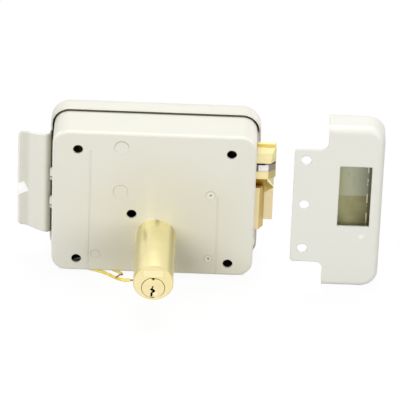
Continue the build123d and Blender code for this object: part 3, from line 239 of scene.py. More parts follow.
def paintFilm(finish):
    # colour, roughness and height of the sprayed enamel
    tone = finish.noise(14.0)
    cloud = finish.noise(60.0, 3.0)
    base = finish.mixColour(tone.ramp(0.3, 0.7), colour(paint["warm"]), colour(paint["cool"]))
    base = finish.tinted(base, 0.65 + cloud * 0.3, paint["face"])
    speck = finish.noise(1400.0, 1.0).above(0.8)
    scratch = finish.noise(260.0, 3.0, stretch=(1.0, 1.0, 0.06)).ramp(0.75, 0.79)
    marks = (speck * 0.4 + scratch * 0.08).smaller(1.0)
    base = finish.tinted(base, marks, paint["scuff"])
    roughness = 0.34 + cloud * 0.1 + scratch * 0.15
    peel = finish.noise(paint["peel"])
    return base, roughness, peel


def finishPaint(finish, base, roughness, peel):
    finish.set(Base_Color=base, Roughness=roughness, IOR=1.46, Coat_Weight=0.2, Coat_Roughness=0.14)
    finish.relief(peel, 0.02 * mm, 0.3, paint["edge"])
    return finish.material


# painted shade on the enamel, round the cylinder and low down
faceShade = {
    "tone": "c4bb9c",
    "round": {"share": 0.45, "full": 14 * mm, "none": 75 * mm, "left": 0.6, "leftFrom": -45 * mm},
    "low": {"share": 0.25, "full": -27 * mm, "none": -6 * mm, "left": 0.2, "leftFrom": -50 * mm},
    "leftWidth": 30 * mm,  # over which each comes up from its weaker left part
    "front": 2 * mm,
}


def faceShadeShare(finish):
    # how much painted shade the enamel gets, round the cylinder and low down
    shares = []
    for facts, place in ((faceShade["round"], finish.reach(0.0, 0.0)), (faceShade["low"], finish.z)):
        share = place.ramp(facts["full"], facts["none"], facts["share"], 0.0)
        weaker = finish.x.ramp(facts["leftFrom"], facts["leftFrom"] + faceShade["leftWidth"], facts["left"], 1.0)
        shares.append(share * weaker)
    return (shares[0] + shares[1]) * finish.y.below(faceShade["front"])


shell = {
    "innerShading": "34322e",  # painted shade, all that the inner side has
    "seamShade": "7d7c6d",  # painted shade in the groove under the cover
    "right": "fdf6f1",  # painted light on walls that face the strike, paler
    "innerLightRight": "f4f0ea",  # painted light where light gets in along the right side
    "litTop": 57.5 * mm,  # up to about here
    "bounce": 0.4,  # painted glow for the light thrown back there
    "rim": "fffdf6",  # the left edge, which catches the light
    "rimDepth": 3 * mm,
}


def makeShellPaint(name, node, sheet, corner):
    # the same enamel on a shell, with painted shade over its inner side, painted light on the walls that face
    # the strike and inside along the right side, and painted shade in the groove under the cover
    finish = Finish(name)
    base, roughness, peel = paintFilm(finish)
    low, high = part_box(node)
    # painted shade round the cylinder and low down
    base = finish.tinted(base, faceShadeShare(finish), faceShade["tone"])
    # painted light on the walls that face the strike
    right = finish.facingX.ramp(0.3, 0.9)
    base = finish.tinted(base, right * 0.8, shell["right"])
    lit = finish.z.ramp(shell["litTop"] - 1.5 * mm, shell["litTop"] + 1.5 * mm, 1.0, 0.0)
    beside = finish.x.ramp(high.x - 6 * mm, high.x - 3 * mm) * lit
    # painted shade over the inner side, with painted light along its right side
    innerShading = finish.mixColour(beside, colour(shell["innerShading"]), colour(shell["innerLightRight"]))
    inner = finish.inside(low, high, corner, sheet) * finish.y.above(low.y + sheet)
    if node == "cover":
        inner = inner * finish.y.below(high.y - sheet)
    base = finish.mixColour(inner, base, innerShading)
    if node == "cover":
        # painted glow inside the cover along its right side
        bounced = finish.mixColour(inner * beside, colour("000000"), colour(shell["innerLightRight"]))
        finish.set(Emission_Color=bounced, Emission_Strength=shell["bounce"])
    else:
        # painted shade in the groove under the cover, left out where the right side gets painted light
        seamShade = finish.y.above(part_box("cover")[0].y - 0.2 * mm) * (1.0 - right * lit)
        base = finish.tinted(base, seamShade, shell["seamShade"])
        rim = finish.facingX.ramp(-0.7, -0.3, 0.8, 0.0) * finish.y.below(shell["rimDepth"])
        base = finish.tinted(base, rim, shell["rim"])
    return finishPaint(finish, base, roughness, peel)


wing = {
    # painted light: the enamel made paler over the whole wing
    "face": "f8f7ec",
    # painted highlight along the wing's left edge
    "edge": "fbfaf2",
    "edgeFade": (0.5 * mm, 1.3 * mm),  # each fade runs from its first value to its second
    "outer": "bdb6a8",  # painted shade, greyer along its outer bend
    "outerRise": (0.6 * mm, 1.6 * mm),
    "outerFade": (5.0 * mm, 8.5 * mm),
    "wingShade": "77744f",  # painted shade towards the case, and in the screw slots
    "shadeFade": (2.6 * mm, 6.6 * mm),
    # painted shade in the crevice between the wing and the case
    "crevice": "454130",
    "creviceFade": (1.4 * mm, 2.3 * mm),
    "screwHead": 8 * mm,
    "screwSlot": 0.5 * mm,
}


def makeWingPaint():
    finish = Finish("wingPaint")
    base, roughness, peel = paintFilm(finish)
    fromEdge = finish.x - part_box("pull_wing")[0].x
    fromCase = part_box("back_case")[0].x - finish.x
    # painted light, the enamel made paler over the whole wing
    base = finish.tinted(base, 0.7, wing["face"])
    # painted shade along the outer bend
    outer = fromEdge.ramp(*wing["outerFade"], 0.3, 0.0) * fromEdge.ramp(*wing["outerRise"])
    base = finish.tinted(base, outer, wing["outer"])
    # painted highlight along the left edge
    base = finish.tinted(base, fromEdge.ramp(*wing["edgeFade"], 0.8, 0.0), wing["edge"])
    # painted shade towards the case
    base = finish.tinted(base, fromCase.ramp(*wing["shadeFade"], 0.6, 0.0), wing["wingShade"])
    # painted shade in the crevice by the case
    base = finish.tinted(base, fromCase.ramp(*wing["creviceFade"], 1.0, 0.0), wing["crevice"])
    return finishPaint(finish, base, roughness, peel)


def makeScrewPaint():
    # heads sprayed with the wing, their slots drawn as lines of painted shade
    finish = Finish("screwPaint")
    base, roughness, peel = paintFilm(finish)
    low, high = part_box("wing_screws")
    for middle in (low.z + wing["screwHead"] / 2, high.z - wing["screwHead"] / 2):
        # painted shade where each slot is
        fromSlot = abs(finish.z - middle) - wing["screwSlot"]
        base = finish.tinted(base, fromSlot.ramp(-0.2 * mm, 0.2 * mm, 0.8, 0.0), wing["wingShade"])
    return finishPaint(finish, base, roughness, peel)


strike = {
    "face": "e8e8e3",
    "chip": "f6f6f2",
    "chipPlace": (127.9 * mm, 8.4 * mm),
    "chipReach": 2.3 * mm,
    "front": 3 * mm,
}


def makeStrikePaint():
    # a cooler batch of the enamel, with one pale chip under the window
    finish = Finish("strikePaint")
    base, roughness, peel = paintFilm(finish)
    base = finish.tinted(base, 0.5, strike["face"])
    ragged = finish.reach(*strike["chipPlace"]) + finish.noise(500.0) * 1.2 * mm
    chip = ragged.below(strike["chipReach"]) * finish.y.below(strike["front"])
    base = finish.tinted(base, chip * 0.8, strike["chip"])
    return finishPaint(finish, base, roughness, peel)


# Brass

brass = {
    "pale": "fdf5c6",
    "deep": "f2e2a6",
    "face": "e6cd84",  # over the faces towards the door
    "faceShare": 0.3,
    "tarnish": "cdb673",
    "edge": 0.12 * mm,
    "metallic": 0.8,
}


def brassFilm(finish, grain):
    # colour, brushed lines and spots; grain is how fast the lines repeat along X, Y and Z
    lines = finish.noise(1.0, 4.0, 0.6, stretch=grain)
    cloud = finish.noise(70.0)
    base = finish.mixColour(cloud.ramp(0.3, 0.7, 0.0, 0.35), colour(brass["pale"]), colour(brass["deep"]))
    base = finish.tinted(base, lines.ramp(0.35, 0.75, 0.0, 0.22), brass["deep"])
    spots = finish.noise(700.0).ramp(0.68, 0.76)
    base = finish.tinted(base, spots * 0.25, brass["tarnish"])
    return base, lines, spots


def finishBrass(finish, base, lines, spots, roughness, metallic=brass["metallic"]):
    finish.set(Base_Color=base, Metallic=metallic, Roughness=roughness + lines * 0.1 + spots * 0.1)
    finish.relief(lines, 0.01 * mm, 0.4, brass["edge"])
    return finish.material


barrel = {
    "dull": "a59a5c",  # painted reflection, darker along both sides and on top near the case
    "line": "b8964f",  # at its front edge and round the field above the plug
    "ring": "a98f4c",  # round the plug
    "rimReach": 11.95 * mm,
    "ringReach": 7.38 * mm,
    "plugZ": -3.7 * mm,
    "fieldZ": 6.8 * mm,
    "fieldHalf": (6.3 * mm, 2.5 * mm),
    "streakX": 0.8 * mm,
    "streakWidth": (0.2 * mm, 2.4 * mm),
    "streakY": (-11 * mm, -1 * mm),  # stronger towards the case
}


def makeBarrelBrass():
    finish = Finish("turnedBrass")
    base, lines, spots = brassFilm(finish, (60.0, 5200.0, 60.0))
    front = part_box("cylinder_body")[0].y
    atFront = finish.y.below(front + 0.12 * mm)
    # painted reflection: darker bands along both sides, stronger on the right
    side = abs(finish.facingX)
    band = side.ramp(0.62, 0.82) * side.ramp(0.88, 0.97, 1.0, 0.1)
    base = finish.tinted(base, band * finish.facingX.ramp(-0.1, 0.1, 0.22, 0.5), barrel["dull"])
    base = finish.tinted(base, atFront * brass["faceShare"], brass["face"])
    # painted reflection: a darker streak on top, stronger towards the case
    streak = abs(finish.x - barrel["streakX"]).ramp(*barrel["streakWidth"], 0.6, 0.0)
    streak = streak * finish.facingZ.above(0.5) * finish.y.ramp(*barrel["streakY"])
    base = finish.tinted(base, streak, barrel["dull"])
    rim = finish.reach(0.0, 0.0).above(barrel["rimReach"]) * finish.y.below(front + 0.4 * mm)
    across = abs(finish.x) - barrel["fieldHalf"][0]
    up = abs(finish.z - barrel["fieldZ"]) - barrel["fieldHalf"][1]
    field = abs(across.larger(up)).below(0.16 * mm) * atFront
    base = finish.tinted(base, (rim * 0.45 + field * 0.4).smaller(1.0), barrel["line"])
    ring = finish.reach(0.0, barrel["plugZ"]).below(barrel["ringReach"])
    base = finish.tinted(base, ring * 0.6, barrel["ring"])
    return finishBrass(finish, base, lines, spots, 0.3)


plug = {
    "rosy": "f3dcb0",  # warmer than the barrel
    # painted shade deep in the keyway
    "keyway": "3a2208",
    "rimReach": 6.9 * mm,
    "notchPlace": (0.0, 3.3 * mm),  # painted shade in the notch at the top of its rim
    "wearAndGlint": "fff3ea",
    "keyGlintPlace": (1.5 * mm, -7.6 * mm),  # a painted highlight, the glint beside the keyway
}


def makePlugBrass():
    finish = Finish("plugBrass")
    base, lines, spots = brassFilm(finish, (60.0, 60.0, 5200.0))
    base = finish.tinted(base, brass["faceShare"], brass["face"])
    base = finish.tinted(base, finish.noise(240.0).ramp(0.4, 0.65, 0.0, 0.6), plug["rosy"])
    # painted highlight beside the keyway
    wearAndGlint = finish.reach(*plug["keyGlintPlace"]).ramp(0.5 * mm, 1.5 * mm, 0.8, 0.0)
    base = finish.tinted(base, wearAndGlint, plug["wearAndGlint"])
    ring = finish.reach(0.0, barrel["plugZ"]).above(plug["rimReach"]) * 0.75
    # painted shade in the notch
    notch = finish.reach(*plug["notchPlace"]).ramp(0.8 * mm, 1.6 * mm, 0.7, 0.0)
    base = finish.tinted(base, ring.larger(notch), barrel["ring"])
    # painted shade deep in the keyway
    deep = finish.y.above(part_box("cylinder_plug")[0].y + 0.3 * mm)
    base = finish.tinted(base, deep, plug["keyway"])
    return finishBrass(finish, base, lines, spots, 0.3)


latch = {
    "topShade": "c2a63c",  # painted shade over its top, a darker reflection
    "tan": "e2cea8",  # the tongue and the strip
    "gussetShadeHigh": "9c8038",  # painted shade on the gusset, high up
    "gussetShadeLow": "bba64e",  # and low down
    "upper": "fbf8b4",  # painted highlight on the bevel above the insert
    "bevelShade": "d6b458",  # painted shade on the other bevels
    "hollowShade": "b48820",  # painted shade in the hollow under the block
    "lit": "fff7c4",  # facets that catch the light
    "blockZ": 39.0 * mm,
    "insertZ": 44.4 * mm,
    "hollowZ": 33.0 * mm,
    "tongueY": 14.3 * mm,
    "gussetY": 11.0 * mm,
    "gussetLeft": 60.0 * mm,
    "gussetX": 66.6 * mm,  # its lower edge passes through here
    "gussetZ": 25.9 * mm,
    "gussetSlope": 0.85,
    "gussetShadeZ": (28.5 * mm, 32.5 * mm),  # where the low painted shade turns to the high one
    "facetX": 68.2 * mm,
    "facetY": 9.7 * mm,
    "facetSlope": 1.27,
    "facetSum": 123.1 * mm,  # z and x times the slope, along the edge of the corner facet
}


def makeLatchBrass():
    # for the latch, and for the strip in front of its tongue
    finish = Finish("brushedBrass")
    base, lines, spots = brassFilm(finish, (90.0, 90.0, 3600.0))
    x, y, z = finish.x, finish.y, finish.z
    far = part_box("latch_bolt")[1].y
    belowBlock = z.below(latch["blockZ"] - 0.05 * mm)
    behind = y.above(latch["tongueY"])
    base = finish.tinted(base, brass["faceShare"], brass["face"])
    bare = y.ramp(far - 2.8 * mm, far - 2.2 * mm, 0.85, 0.1)  # painted highlight along its far edge, where the top gets less painted shade
    base = finish.tinted(base, finish.facingZ.above(0.9) * bare, latch["topShade"])
    base = finish.tinted(base, belowBlock * behind * 0.75, latch["tan"])
    strip = z.below(latch["hollowZ"]) * y.below(latch["tongueY"])
    base = finish.tinted(base, strip * 0.4, latch["tan"])
    # painted shade on the gusset's facets
    rise = z - latch["gussetZ"] - (x - latch["gussetX"]) * latch["gussetSlope"]
    gusset = rise.ramp(-0.15 * mm, 0.25 * mm) * y.above(latch["gussetY"]) * x.above(latch["gussetLeft"])
    gusset = gusset * belowBlock * finish.facingZ.below(0.1) * finish.facingY.below(-0.6)
    tint = finish.mixColour(z.ramp(*latch["gussetShadeZ"]), colour(latch["gussetShadeLow"]), colour(latch["gussetShadeHigh"]))
    base = finish.mixColour(gusset * 0.9, base, tint)
    bevel = finish.facingX.above(0.5) * finish.facingY.below(-0.3)
    # painted highlight on the bevel above the insert
    upper = bevel * finish.facingX.above(0.8) * z.above(latch["insertZ"] + 0.1 * mm)
    base = finish.tinted(base, upper * 0.7, latch["upper"])
    # painted shade in the hollow under the block
    hollow = behind * y.below(latch["tongueY"] + 0.4 * mm) * x.below(latch["gussetX"])
    hollow = hollow * z.ramp(latch["hollowZ"] - 2.0 * mm, latch["hollowZ"])
    base = finish.tinted(base, hollow * 0.9, latch["hollowShade"])
    corner = (z + x * latch["facetSlope"] - latch["facetSum"]).ramp(-0.15 * mm, 0.15 * mm)
    corner = corner * x.above(latch["facetX"]) * y.above(latch["facetY"])
    corner = corner * z.below(latch["blockZ"] + 0.05 * mm)
    facet = finish.facingZ.above(0.1) * finish.facingZ.below(0.5) * finish.facingX.above(0.5)
    facet = facet.larger(corner)
    base = finish.tinted(base, facet, latch["lit"])
    # painted shade on the low bevels
    base = finish.tinted(base, bevel * z.below(latch["hollowZ"]) * 0.7, latch["bevelShade"])
    # painted shade on the bevels between the block and the insert
    middle = z.above(latch["blockZ"]) * z.below(latch["insertZ"] - 0.1 * mm)
    base = finish.tinted(base, bevel * middle * 0.3, latch["bevelShade"])
    return finishBrass(finish, base, lines, spots, 0.34, brass["metallic"] - bevel * 0.3 - facet * 0.3)


# Steel

steel = {
    "light": "c9c9c4",
    "dark": "a3a39c",
    "blue": "b4bcc6",  # the tints of thin zinc plate
    "yellow": "cfc9a4",
    "spring": ("8e8e8a", "5f5f5c"),
    "bright": ("e2e2e0", "cfcfcc"),
    "ground": ("f8f4f4", "e9e4e0"),
    "groundGrain": (60.0, 60.0, 3000.0),
}


def makeSteel(name, tones, roughness, grain=(300.0, 300.0, 300.0), iridescent=0.0, metallic=0.8):
    finish = Finish(name)
    lines = finish.noise(1.0, 4.0, 0.6, stretch=grain)
    cloud = finish.noise(140.0, 3.0)
    base = finish.mixColour(cloud.ramp(0.3, 0.7), colour(tones[0]), colour(tones[1]))
    if iridescent:
        bands = finish.noise(60.0, 1.0).ramp(0.35, 0.65)
        hue = finish.mixColour(bands, colour(steel["blue"]), colour(steel["yellow"]))
        base = finish.mixColour(iridescent, base, hue)
    finish.set(Base_Color=base, Metallic=metallic, Roughness=roughness + lines * 0.15)
    finish.relief(lines, 0.01 * mm, 0.5, 0.15 * mm)
    return finish.material


insert = {
    # painted shade on the bevel that faces the strike
    "bevel": "8d7a66",
    "slotShadow": "2b241c",  # painted shadow along the slot above it, and where it meets the case
    "shadowDepth": 1.45 * mm,
    "shadowX": 62.4 * mm,
    "glint": (66.0 * mm, 70.0 * mm),  # a painted glint, a gap in the painted shadow
}


def makeInsertSteel():
    finish = Finish("insertSteel")
    lines = finish.noise(1.0, 4.0, 0.6, stretch=steel["groundGrain"])
    light, dark = steel["ground"]
    base = finish.mixColour(lines.ramp(0.3, 0.7), colour(light), colour(dark))
    # painted shade on the bevel that faces the strike
    base = finish.tinted(base, finish.facingX.above(0.4) * 0.6, insert["bevel"])
    # painted shadow along the slot and by the case, with a painted glint in it
    left, right = insert["glint"]
    glint = finish.x.ramp(left, left + 1.2 * mm) * finish.x.ramp(right - 1.2 * mm, right, 1.0, 0.0)
    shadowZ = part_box("latch_insert")[1].z - insert["shadowDepth"]
    slotShadow = finish.z.ramp(shadowZ - 0.25 * mm, shadowZ + 0.25 * mm) * (1.0 - glint * 0.7)
    root = finish.x.ramp(insert["shadowX"] - 0.2 * mm, insert["shadowX"] + 0.2 * mm, 0.85, 0.0)
    base = finish.tinted(base, slotShadow.larger(root), insert["slotShadow"])
    finish.set(Base_Color=base, Metallic=0.6, Roughness=0.3 + lines * 0.15)
    finish.relief(lines, 0.01 * mm, 0.5, 0.15 * mm)
    return finish.material


post = {
    "ring": "f7f6ef",
    "ringReach": 1.9 * mm,
    "dimple": "6f6b5a",
    "dimpleReach": 0.7 * mm,
    "arc": "8f8c7e",  # shade over the widest riveted end
    "arcReach": 4.0 * mm,
    "sprayed": 0.4 * mm,  # how deep the spray got
}


def makePostSteel():
    # plated posts whose riveted ends were sprayed with the case
    finish = Finish("paintedPost")
    base, roughness, peel = paintFilm(finish)
    # painted shade round the cylinder and low down, as on the case
    base = finish.tinted(base, faceShadeShare(finish), faceShade["tone"])
    for name in ("guide_post", "lower_cover_post"):
        low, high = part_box(name)
        around = finish.reach((low.x + high.x) / 2, (low.z + high.z) / 2)
        base = finish.tinted(base, around.below(post["ringReach"]) * 0.45, post["ring"])
        dimple = (around - post["dimpleReach"]).ramp(-0.25 * mm, 0.25 * mm, 0.95, 0.0)
        base = finish.tinted(base, dimple, post["dimple"])
    low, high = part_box("upper_cover_post")
    middle = (low + high) / 2
    arc = finish.reach(middle.x, middle.z).ramp(post["arcReach"], post["arcReach"] + 0.25 * mm, 0.0, 0.6)
    arc = arc * finish.z.ramp(middle.z - 1 * mm, middle.z + 3 * mm)
    base = finish.tinted(base, arc, post["arc"])
    bare = finish.y.above(post["sprayed"])
    lines = finish.noise(1.0, 3.0, stretch=(900.0, 4000.0, 900.0))
    metal = finish.mixColour(lines, colour(steel["light"]), colour(steel["dark"]))
    finish.set(
        Base_Color=finish.mixColour(bare, base, metal),
        Metallic=bare,
        Roughness=finish.mixValue(bare, roughness, 0.3 + lines * 0.15),
    )
    finish.relief(peel, 0.02 * mm, 0.35, 0.12 * mm)
    return finish.material


liner = {
    "upper": "afb297",
    # painted shade, darker towards the right
    "upperRight": "8c8d79",
    "lower": "949168",
    "lowerRight": "76724c",
    "bendZ": 33.2 * mm,
    "lit": "c3c192",  # along its left side and low down
    "litAcross": (3.5 * mm, 9.0 * mm),
    "litUp": (9.5 * mm, 15.0 * mm),
    "bloom": "b3b192",
    "streak": "6f6d52",
    "beside": "4b4630",  # shade along its right edge
    "besideWidth": 3.5 * mm,
    "wearAndGlint": "e9dcc6",  # chips there, where the latch rubs
}


def makeLinerSteel():
    # passivated zinc, greener and darker low down
    finish = Finish("passivatedZinc")
    low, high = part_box("strike_liner")
    # painted shade, darker towards the right
    across = finish.x.ramp(low.x + 2 * mm, high.x - 2 * mm)
    upper = finish.mixColour(across, colour(liner["upper"]), colour(liner["upperRight"]))
    lower = finish.mixColour(across, colour(liner["lower"]), colour(liner["lowerRight"]))
    base = finish.mixColour(finish.z.below(liner["bendZ"]), upper, lower)
    leftLit = (finish.x - low.x).ramp(*liner["litAcross"], 0.45, 0.0)
    lowLit = (finish.z - low.z).ramp(*liner["litUp"], 0.4, 0.0) * (1.0 - across)
    base = finish.tinted(base, leftLit.larger(lowLit), liner["lit"])
    cloud = finish.noise(120.0, 4.0, 0.6)
    base = finish.tinted(base, cloud.ramp(0.4, 0.7, 0.0, 0.18), liner["bloom"])
    besideX = high.x - liner["besideWidth"]
    beside = finish.x.ramp(besideX - 0.3 * mm, besideX + 0.3 * mm, 0.0, 0.6)
    base = finish.tinted(base, beside, liner["beside"])
    wearAndGlint = finish.x.above(besideX - 0.7 * mm) * finish.x.below(besideX)
    wearAndGlint = wearAndGlint * finish.noise(300.0, stretch=(1.0, 1.0, 0.4)).ramp(0.5, 0.54)
    base = finish.tinted(base, wearAndGlint * 0.8, liner["wearAndGlint"])
    streak = finish.noise(420.0, 3.0, stretch=(1.0, 1.0, 0.15)).ramp(0.6, 0.75, 0.0, 0.3)
    base = finish.tinted(base, streak, liner["streak"])
    finish.set(Base_Color=base, Metallic=0.45, Roughness=0.38 + cloud * 0.2)
    finish.relief(cloud, 0.03 * mm, 0.5, 0.15 * mm)
    return finish.material


# Plastics, tape and wire

plastic = {
    "bobbin": ("232323", "161616"),
    "terminal": ("dededa", "cfcfc9"),
    "grain": 1200.0,
}


def makePlastic(name, tones, roughness):
    finish = Finish(name)
    cloud = finish.noise(120.0, 3.0)
    texture = finish.noise(plastic["grain"])
    base = finish.mixColour(cloud.ramp(0.3, 0.7), colour(tones[0]), colour(tones[1]))
    finish.set(Base_Color=base, Roughness=roughness + texture * 0.15, IOR=1.47)
    finish.relief(texture, 0.02 * mm, 0.4, 0.15 * mm)
    return finish.material


tape = {
    "face": "c9a64a",
    "lap": "8a6a2a",
    "varnish": "b08c3c",
    "turns": 900.0,  # per metre along the coil
}


def makeTape():
    # varnished tape wound round the coil
    finish = Finish("coilTape")
    wrap = (finish.x * tape["turns"] + finish.noise(60.0) * 2.0).calc("FRACT")
    lap = wrap.ramp(0.86, 0.98)
    base = finish.mixColour(lap, colour(tape["face"]), colour(tape["lap"]))
    cloud = finish.noise(200.0, 3.0)
    base = finish.tinted(base, cloud.ramp(0.4, 0.8, 0.0, 0.4), tape["varnish"])
    finish.set(Base_Color=base, Roughness=0.32 + cloud * 0.2, Coat_Weight=0.4, Coat_Roughness=0.2)
    finish.relief(lap, 0.05 * mm, 0.6)
    return finish.material


insulation = {
    "light": "fde766",
    "deep": "f2d548",
    "dirt": "8c7a3a",
}


def makeInsulation():
    finish = Finish("yellowInsulation")
    cloud = finish.noise(260.0, 3.0)
    base = finish.mixColour(cloud.ramp(0.3, 0.7), colour(insulation["light"]), colour(insulation["deep"]))
    base = finish.tinted(base, finish.noise(600.0).ramp(0.62, 0.74, 0.0, 0.4), insulation["dirt"])
    finish.set(Base_Color=base, Roughness=0.35 + cloud * 0.15, IOR=1.5)
    finish.relief(cloud, 0.03 * mm, 0.5)
    return finish.material


copper = {"bright": "c79a82", "dull": "8b6855"}


def makeCopper():
    finish = Finish("dullCopper")
    cloud = finish.noise(900.0, 3.0)
    base = finish.mixColour(cloud.ramp(0.35, 0.65), colour(copper["bright"]), colour(copper["dull"]))
    finish.set(Base_Color=base, Metallic=1.0, Roughness=0.35 + cloud * 0.25)
    finish.relief(cloud, 0.02 * mm, 0.5)
    return finish.material


# Each node gets the finish of its slot, or one of its own

plate = (steel["light"], steel["dark"])
finishes = {
    "brass": makeBarrelBrass(),
    "plated_steel": makeSteel("zincPlate", plate, 0.28, iridescent=0.35),
    "post_steel": makePostSteel(),
    "hard_steel": makeSteel("groundSteel", steel["ground"], 0.3, steel["groundGrain"], metallic=0.6),
    "spring_steel": makeSteel("springWire", steel["spring"], 0.3),
    "bright_trim": makeSteel("brightPlate", steel["bright"], 0.08, (80.0, 80.0, 80.0)),
    "chromated_steel": makeLinerSteel(),
    "bobbin_plastic": makePlastic("blackMoulding", plastic["bobbin"], 0.4),
    "coil_tape": makeTape(),
    "terminal_plastic": makePlastic("whiteMoulding", plastic["terminal"], 0.4),
    "yellow_insulation": makeInsulation(),
    "copper": makeCopper(),
}
latchBrass = makeLatchBrass()
ownFinish = {
    "back_case": makeShellPaint("casePaint", "back_case", sheet=1.4 * mm, corner=9.8 * mm),
    "cover": makeShellPaint("coverPaint", "cover", sheet=0.9 * mm, corner=12.0 * mm),
    "pull_wing": makeWingPaint(),
    "wing_screws": makeScrewPaint(),
    "cylinder_plug": makePlugBrass(),
    "latch_bolt": latchBrass,
    "cocking_bolt": latchBrass,
    "latch_insert": makeInsertSteel(),
    "strike_box": makeStrikePaint(),
}
slots = {row["node"]: row["material_slot"] for row in frame["record"]["subparts"]}


def dress(piece, material):
    piece.data.materials.clear()
    piece.data.materials.append(material)


for name, node in nodes.items():
    dress(node, ownFinish.get(name) or finishes[slots[name]])
print("finishes made,", len(finishes), "by slot and", len(ownFinish), "by node")


def addPiece(name, mesh, body, slot, material=None, replaced=()):
    piece = bpy.data.objects.new(name, mesh)
    bpy.context.scene.collection.objects.link(piece)
    dress(piece, material or finishes[slot])
    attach(piece, body)
    if replaced:
        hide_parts(*replaced)
    return piece


# Lead wires, along the same points as their solids, given in mm

wires = {
    "diameter": 1.9 * mm,
    "steps": 12,  # from one point of a route to the next
    "strands": 7,
    "strandDiameter": 0.32 * mm,
    "strandSides": 8,
    "twist": 260.0,  # turns per metre
}
longRoute = [
    (-40.5, 10.0, -12.0),
    (-40.5, 10.0, -16.0),
    (-42.8, 10.0, -19.6),
    (-45.0, 9.4, -23.0),
    (-46.6, 8.6, -26.1),
    (-45.9, 7.0, -28.1),
    (-43.2, 5.4, -28.6),
    (-39.7, 3.8, -28.6),
    (-35.0, 2.1, -28.6),
    (-30.4, -0.4, -28.6),
    (-26.3, -3.8, -28.6),
    (-22.5, -6.4, -28.6),
    (-18.8, -7.6, -28.6),
    (-15.0, -7.3, -28.6),
]
shortRoute = [
    (-34.2, 10.0, -12.0),
    (-34.2, 10.0, -16.0),
    (-34.4, 10.1, -19.6),
    (-34.3, 9.6, -23.0),
    (-33.0, 8.8, -26.3),
    (-30.6, 7.3, -28.2),
    (-27.6, 5.3, -28.6),
    (-25.0, 3.3, -28.6),
    (-22.6, 1.8, -28.6),
    (-20.6, -0.6, -28.6),
]
longEnd = [(-15.0, -7.3, -28.6), (-14.0, -7.15, -28.6), (-13.0, -7.1, -28.6)]
shortEnd = [
    (-20.6, -0.6, -28.6),
    (-20.05, -1.23, -28.6),
    (-20.4, -2.4, -28.0),
    (-21.6, -3.8, -27.05),
    (-23.1, -5.8, -26.95),
    (-24.2, -7.4, -27.05),
]


def splineCurve(name, route, radius):
    curve = bpy.data.curves.new(name, "CURVE")
    curve.dimensions = "3D"
    curve.bevel_depth = radius
    curve.bevel_resolution = 6
    curve.use_fill_caps = True
    spline = curve.splines.new("NURBS")
    spline.points.add(len(route) - 1)
    for point, place in zip(spline.points, route):
        point.co = (*(value * mm for value in place), 1.0)
    spline.order_u = 3
    spline.use_endpoint_u = True
    spline.resolution_u = wires["steps"]
    return curve


def evaluatedMesh(holder):
    # what an object's modifiers or curve give, as a plain mesh; the object goes
    bpy.context.scene.collection.objects.link(holder)
    bpy.context.view_layer.update()
    mesh = bpy.data.meshes.new_from_object(holder.evaluated_get(bpy.context.evaluated_depsgraph_get()))
    bpy.data.objects.remove(holder)
    return mesh


def pathPoints(route):
    # the points along a route's own smooth spline
    mesh = evaluatedMesh(bpy.data.objects.new("route", splineCurve("route", route, 0.0)))
    points = [vertex.co.copy() for vertex in mesh.vertices]
    bpy.data.meshes.remove(mesh)
    return points


def pathLength(points):
    return sum((after - before).length for before, after in zip(points, points[1:]))


def pathFrames(points):
    # at each point, two directions across the path that turn as little as they can
    side = Vector((0, 0, 1))
    for index, point in enumerate(points):
        ahead = (points[min(index + 1, len(points) - 1)] - points[max(index - 1, 0)]).normalized()
        side = (side - ahead * side.dot(ahead)).normalized()
        yield point, side, ahead.cross(side)


def tubeInto(shape, points, radius, sides):
    # a closed tube round the points, added to a bmesh
    rings = []
    for point, side, across in pathFrames(points):
        ring = []
        for step in range(sides):
            angle = math.tau * step / sides
            ring.append(shape.verts.new(point + radius * (math.cos(angle) * side + math.sin(angle) * across)))
        rings.append(ring)
    for first, second in zip(rings, rings[1:]):
        for step in range(sides):
            after = (step + 1) % sides
            shape.faces.new((first[step], first[after], second[after], second[step]))
    shape.faces.new(reversed(rings[0]))
    shape.faces.new(rings[-1])


def strandBundle(name, route, node):
    # bare strands, one in the middle and the rest twisted round it
    points = pathPoints(route)
    around = wires["strands"] - 1
    reach = wires["strandDiameter"] * 0.96  # just under a diameter, so that the strands touch
    tracks = [points] + [[] for _ in range(around)]
    run = 0.0
    before = points[0]
    for point, side, across in pathFrames(points):
        run += (point - before).length
        before = point
        for strand in range(1, around + 1):
            angle = math.tau * (strand / around + run * wires["twist"])
            tracks[strand].append(point + reach * (math.cos(angle) * side + math.sin(angle) * across))
    shape = bmesh.new()
    for track in tracks:
        tubeInto(shape, track, wires["strandDiameter"] / 2, wires["strandSides"])
    mesh = bpy.data.meshes.new(name)
    shape.normal_update()
    shape.to_mesh(mesh)
    shape.free()
    mesh.shade_smooth()
    return addPiece(name, mesh, "lock_case", "copper", replaced=(node,))


def leadWire(name, route, node):
    curve = splineCurve(name, route, wires["diameter"] / 2)
    piece = addPiece(name, curve, "lock_case", "yellow_insulation", replaced=(node,))
    length = pathLength(pathPoints(route))
    print(name, "is", round(length / mm, 1), "mm long")


longStrands = strandBundle("long_wire_strands", longEnd, "stripped_end_long")
shortStrands = strandBundle("short_wire_strands", shortEnd, "stripped_end_short")
leadWire("long_lead_wire", longRoute, "lead_wire_long")
leadWire("short_lead_wire", shortRoute, "lead_wire_short")


# Paper label on the wing

label = {
    "width": 8.6 * mm,
    "height": 7.2 * mm,
    "centre": (-86.3 * mm, 15.4 * mm),
    "turn": 26.5,
    "thickness": 0.09 * mm,
    "cells": 24,
    "fromEdge": 0.25 * mm,
    "fromWing": 0.02 * mm,
    "paper": "fdfdfd",
    "shade": "f4f4f4",
    "glow": 0.14,  # painted glow, so the white paper shines brighter than the studio's light makes it
}


